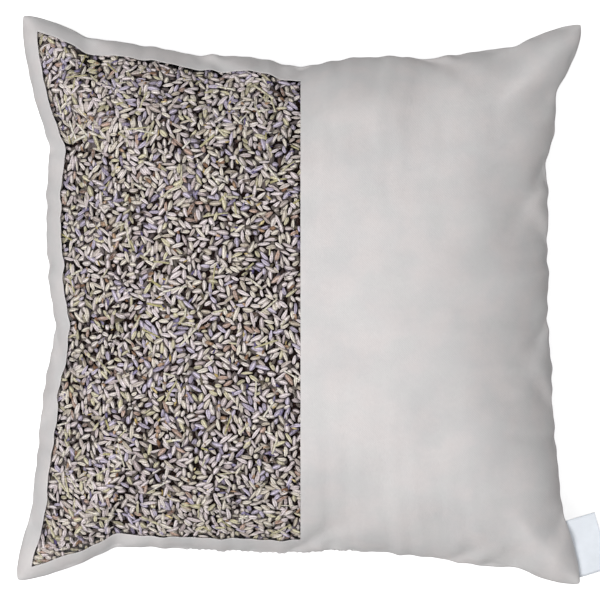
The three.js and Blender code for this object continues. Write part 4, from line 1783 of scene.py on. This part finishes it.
def add_floor():
    """A plain pale floor that glows a little, as a light table does."""
    angles = 2 * math.pi * np.arange(FLOOR_SIDES) / FLOOR_SIDES
    rim = FLOOR_RADIUS * np.stack((np.cos(angles), np.sin(angles), np.zeros(FLOOR_SIDES)), -1)
    fan = [(k, (k + 1) % FLOOR_SIDES, FLOOR_SIDES) for k in range(FLOOR_SIDES)]
    floor = mesh_object("floor", np.concatenate((rim, [[0, 0, 0]])), (), fan)
    finish = Finish("floor", roughness=0.8, Emission_Color=(1, 1, 1, 1), Emission_Strength=FLOOR_GLOW)
    finish.colour(FLOOR_TONE)
    floor.data.materials.append(finish.material)
    floor.visible_diffuse = False


def add_lights(scene, power):
    """Two square lights that face the sachet."""
    for name, place, side, share, tone in LIGHTS:
        data = bpy.data.lights.new(name, "AREA")
        data.size = side
        data.energy = power * share
        data.color = tone
        light = bpy.data.objects.new(name, data)
        light.location = place
        light.rotation_euler = (-Vector(place)).to_track_quat("-Z", "Y").to_euler()
        scene.collection.objects.link(light)


def add_room(scene, fill):
    """An even white room, darker under the floor's level."""
    world = bpy.data.worlds.new("room")
    world.use_nodes = True
    tree = world.node_tree
    background = tree.nodes["Background"]
    way = tree.nodes.new("ShaderNodeSeparateXYZ")
    tree.links.new(tree.nodes.new("ShaderNodeTexCoord").outputs["Generated"], way.inputs["Vector"])
    sky = tree.nodes.new("ShaderNodeMapRange")
    sky.inputs["From Min"].default_value, sky.inputs["From Max"].default_value = HORIZON
    sky.inputs["To Min"].default_value = UNDER_SHARE * fill
    sky.inputs["To Max"].default_value = fill
    tree.links.new(way.outputs["Z"], sky.inputs["Value"])
    tree.links.new(sky.outputs["Result"], background.inputs["Strength"])
    background.inputs["Color"].default_value = (1, 1, 1, 1)
    scene.world = world


class SACHET_PT_panel(bpy.types.Panel):
    """Lists what the sachet is made of."""

    bl_idname = "SACHET_PT_panel"
    bl_label = "Lavender Sachet"
    bl_space_type = "VIEW_3D"
    bl_region_type = "UI"
    bl_category = "Sachet"

    def draw(self, context):
        for made in MAKERS:
            self.layout.operator(made.bl_idname)
        for name, group in GROUPS:
            box = self.layout.box()
            for prop in group.__annotations__:
                box.prop(getattr(context.scene, name), prop)


GROUPS = (
    ("sachet_cover", CoverSizes),
    ("sachet_window", WindowSizes),
    ("sachet_filling", FillingSizes),
    ("sachet_label", LabelSizes),
    ("sachet_stage", StageSizes),
)
MAKERS = (
    SACHET_OT_cover,
    SACHET_OT_window,
    SACHET_OT_filling,
    SACHET_OT_seams,
    SACHET_OT_label,
    SACHET_OT_stage,
)


def register():
    for name, group in GROUPS:
        bpy.utils.register_class(group)
        setattr(bpy.types.Scene, name, PointerProperty(type=group))
    for made in (*MAKERS, SACHET_PT_panel):
        bpy.utils.register_class(made)


def unregister():
    for made in reversed((*MAKERS, SACHET_PT_panel)):
        bpy.utils.unregister_class(made)
    for name, group in reversed(GROUPS):
        delattr(bpy.types.Scene, name)
        bpy.utils.unregister_class(group)


def main():
    register()
    bpy.ops.sachet.cover()
    bpy.ops.sachet.window()
    bpy.ops.sachet.filling()
    bpy.ops.sachet.seams()
    bpy.ops.sachet.label()
    bpy.ops.sachet.stage()


if __name__ == "__main__":
    main()
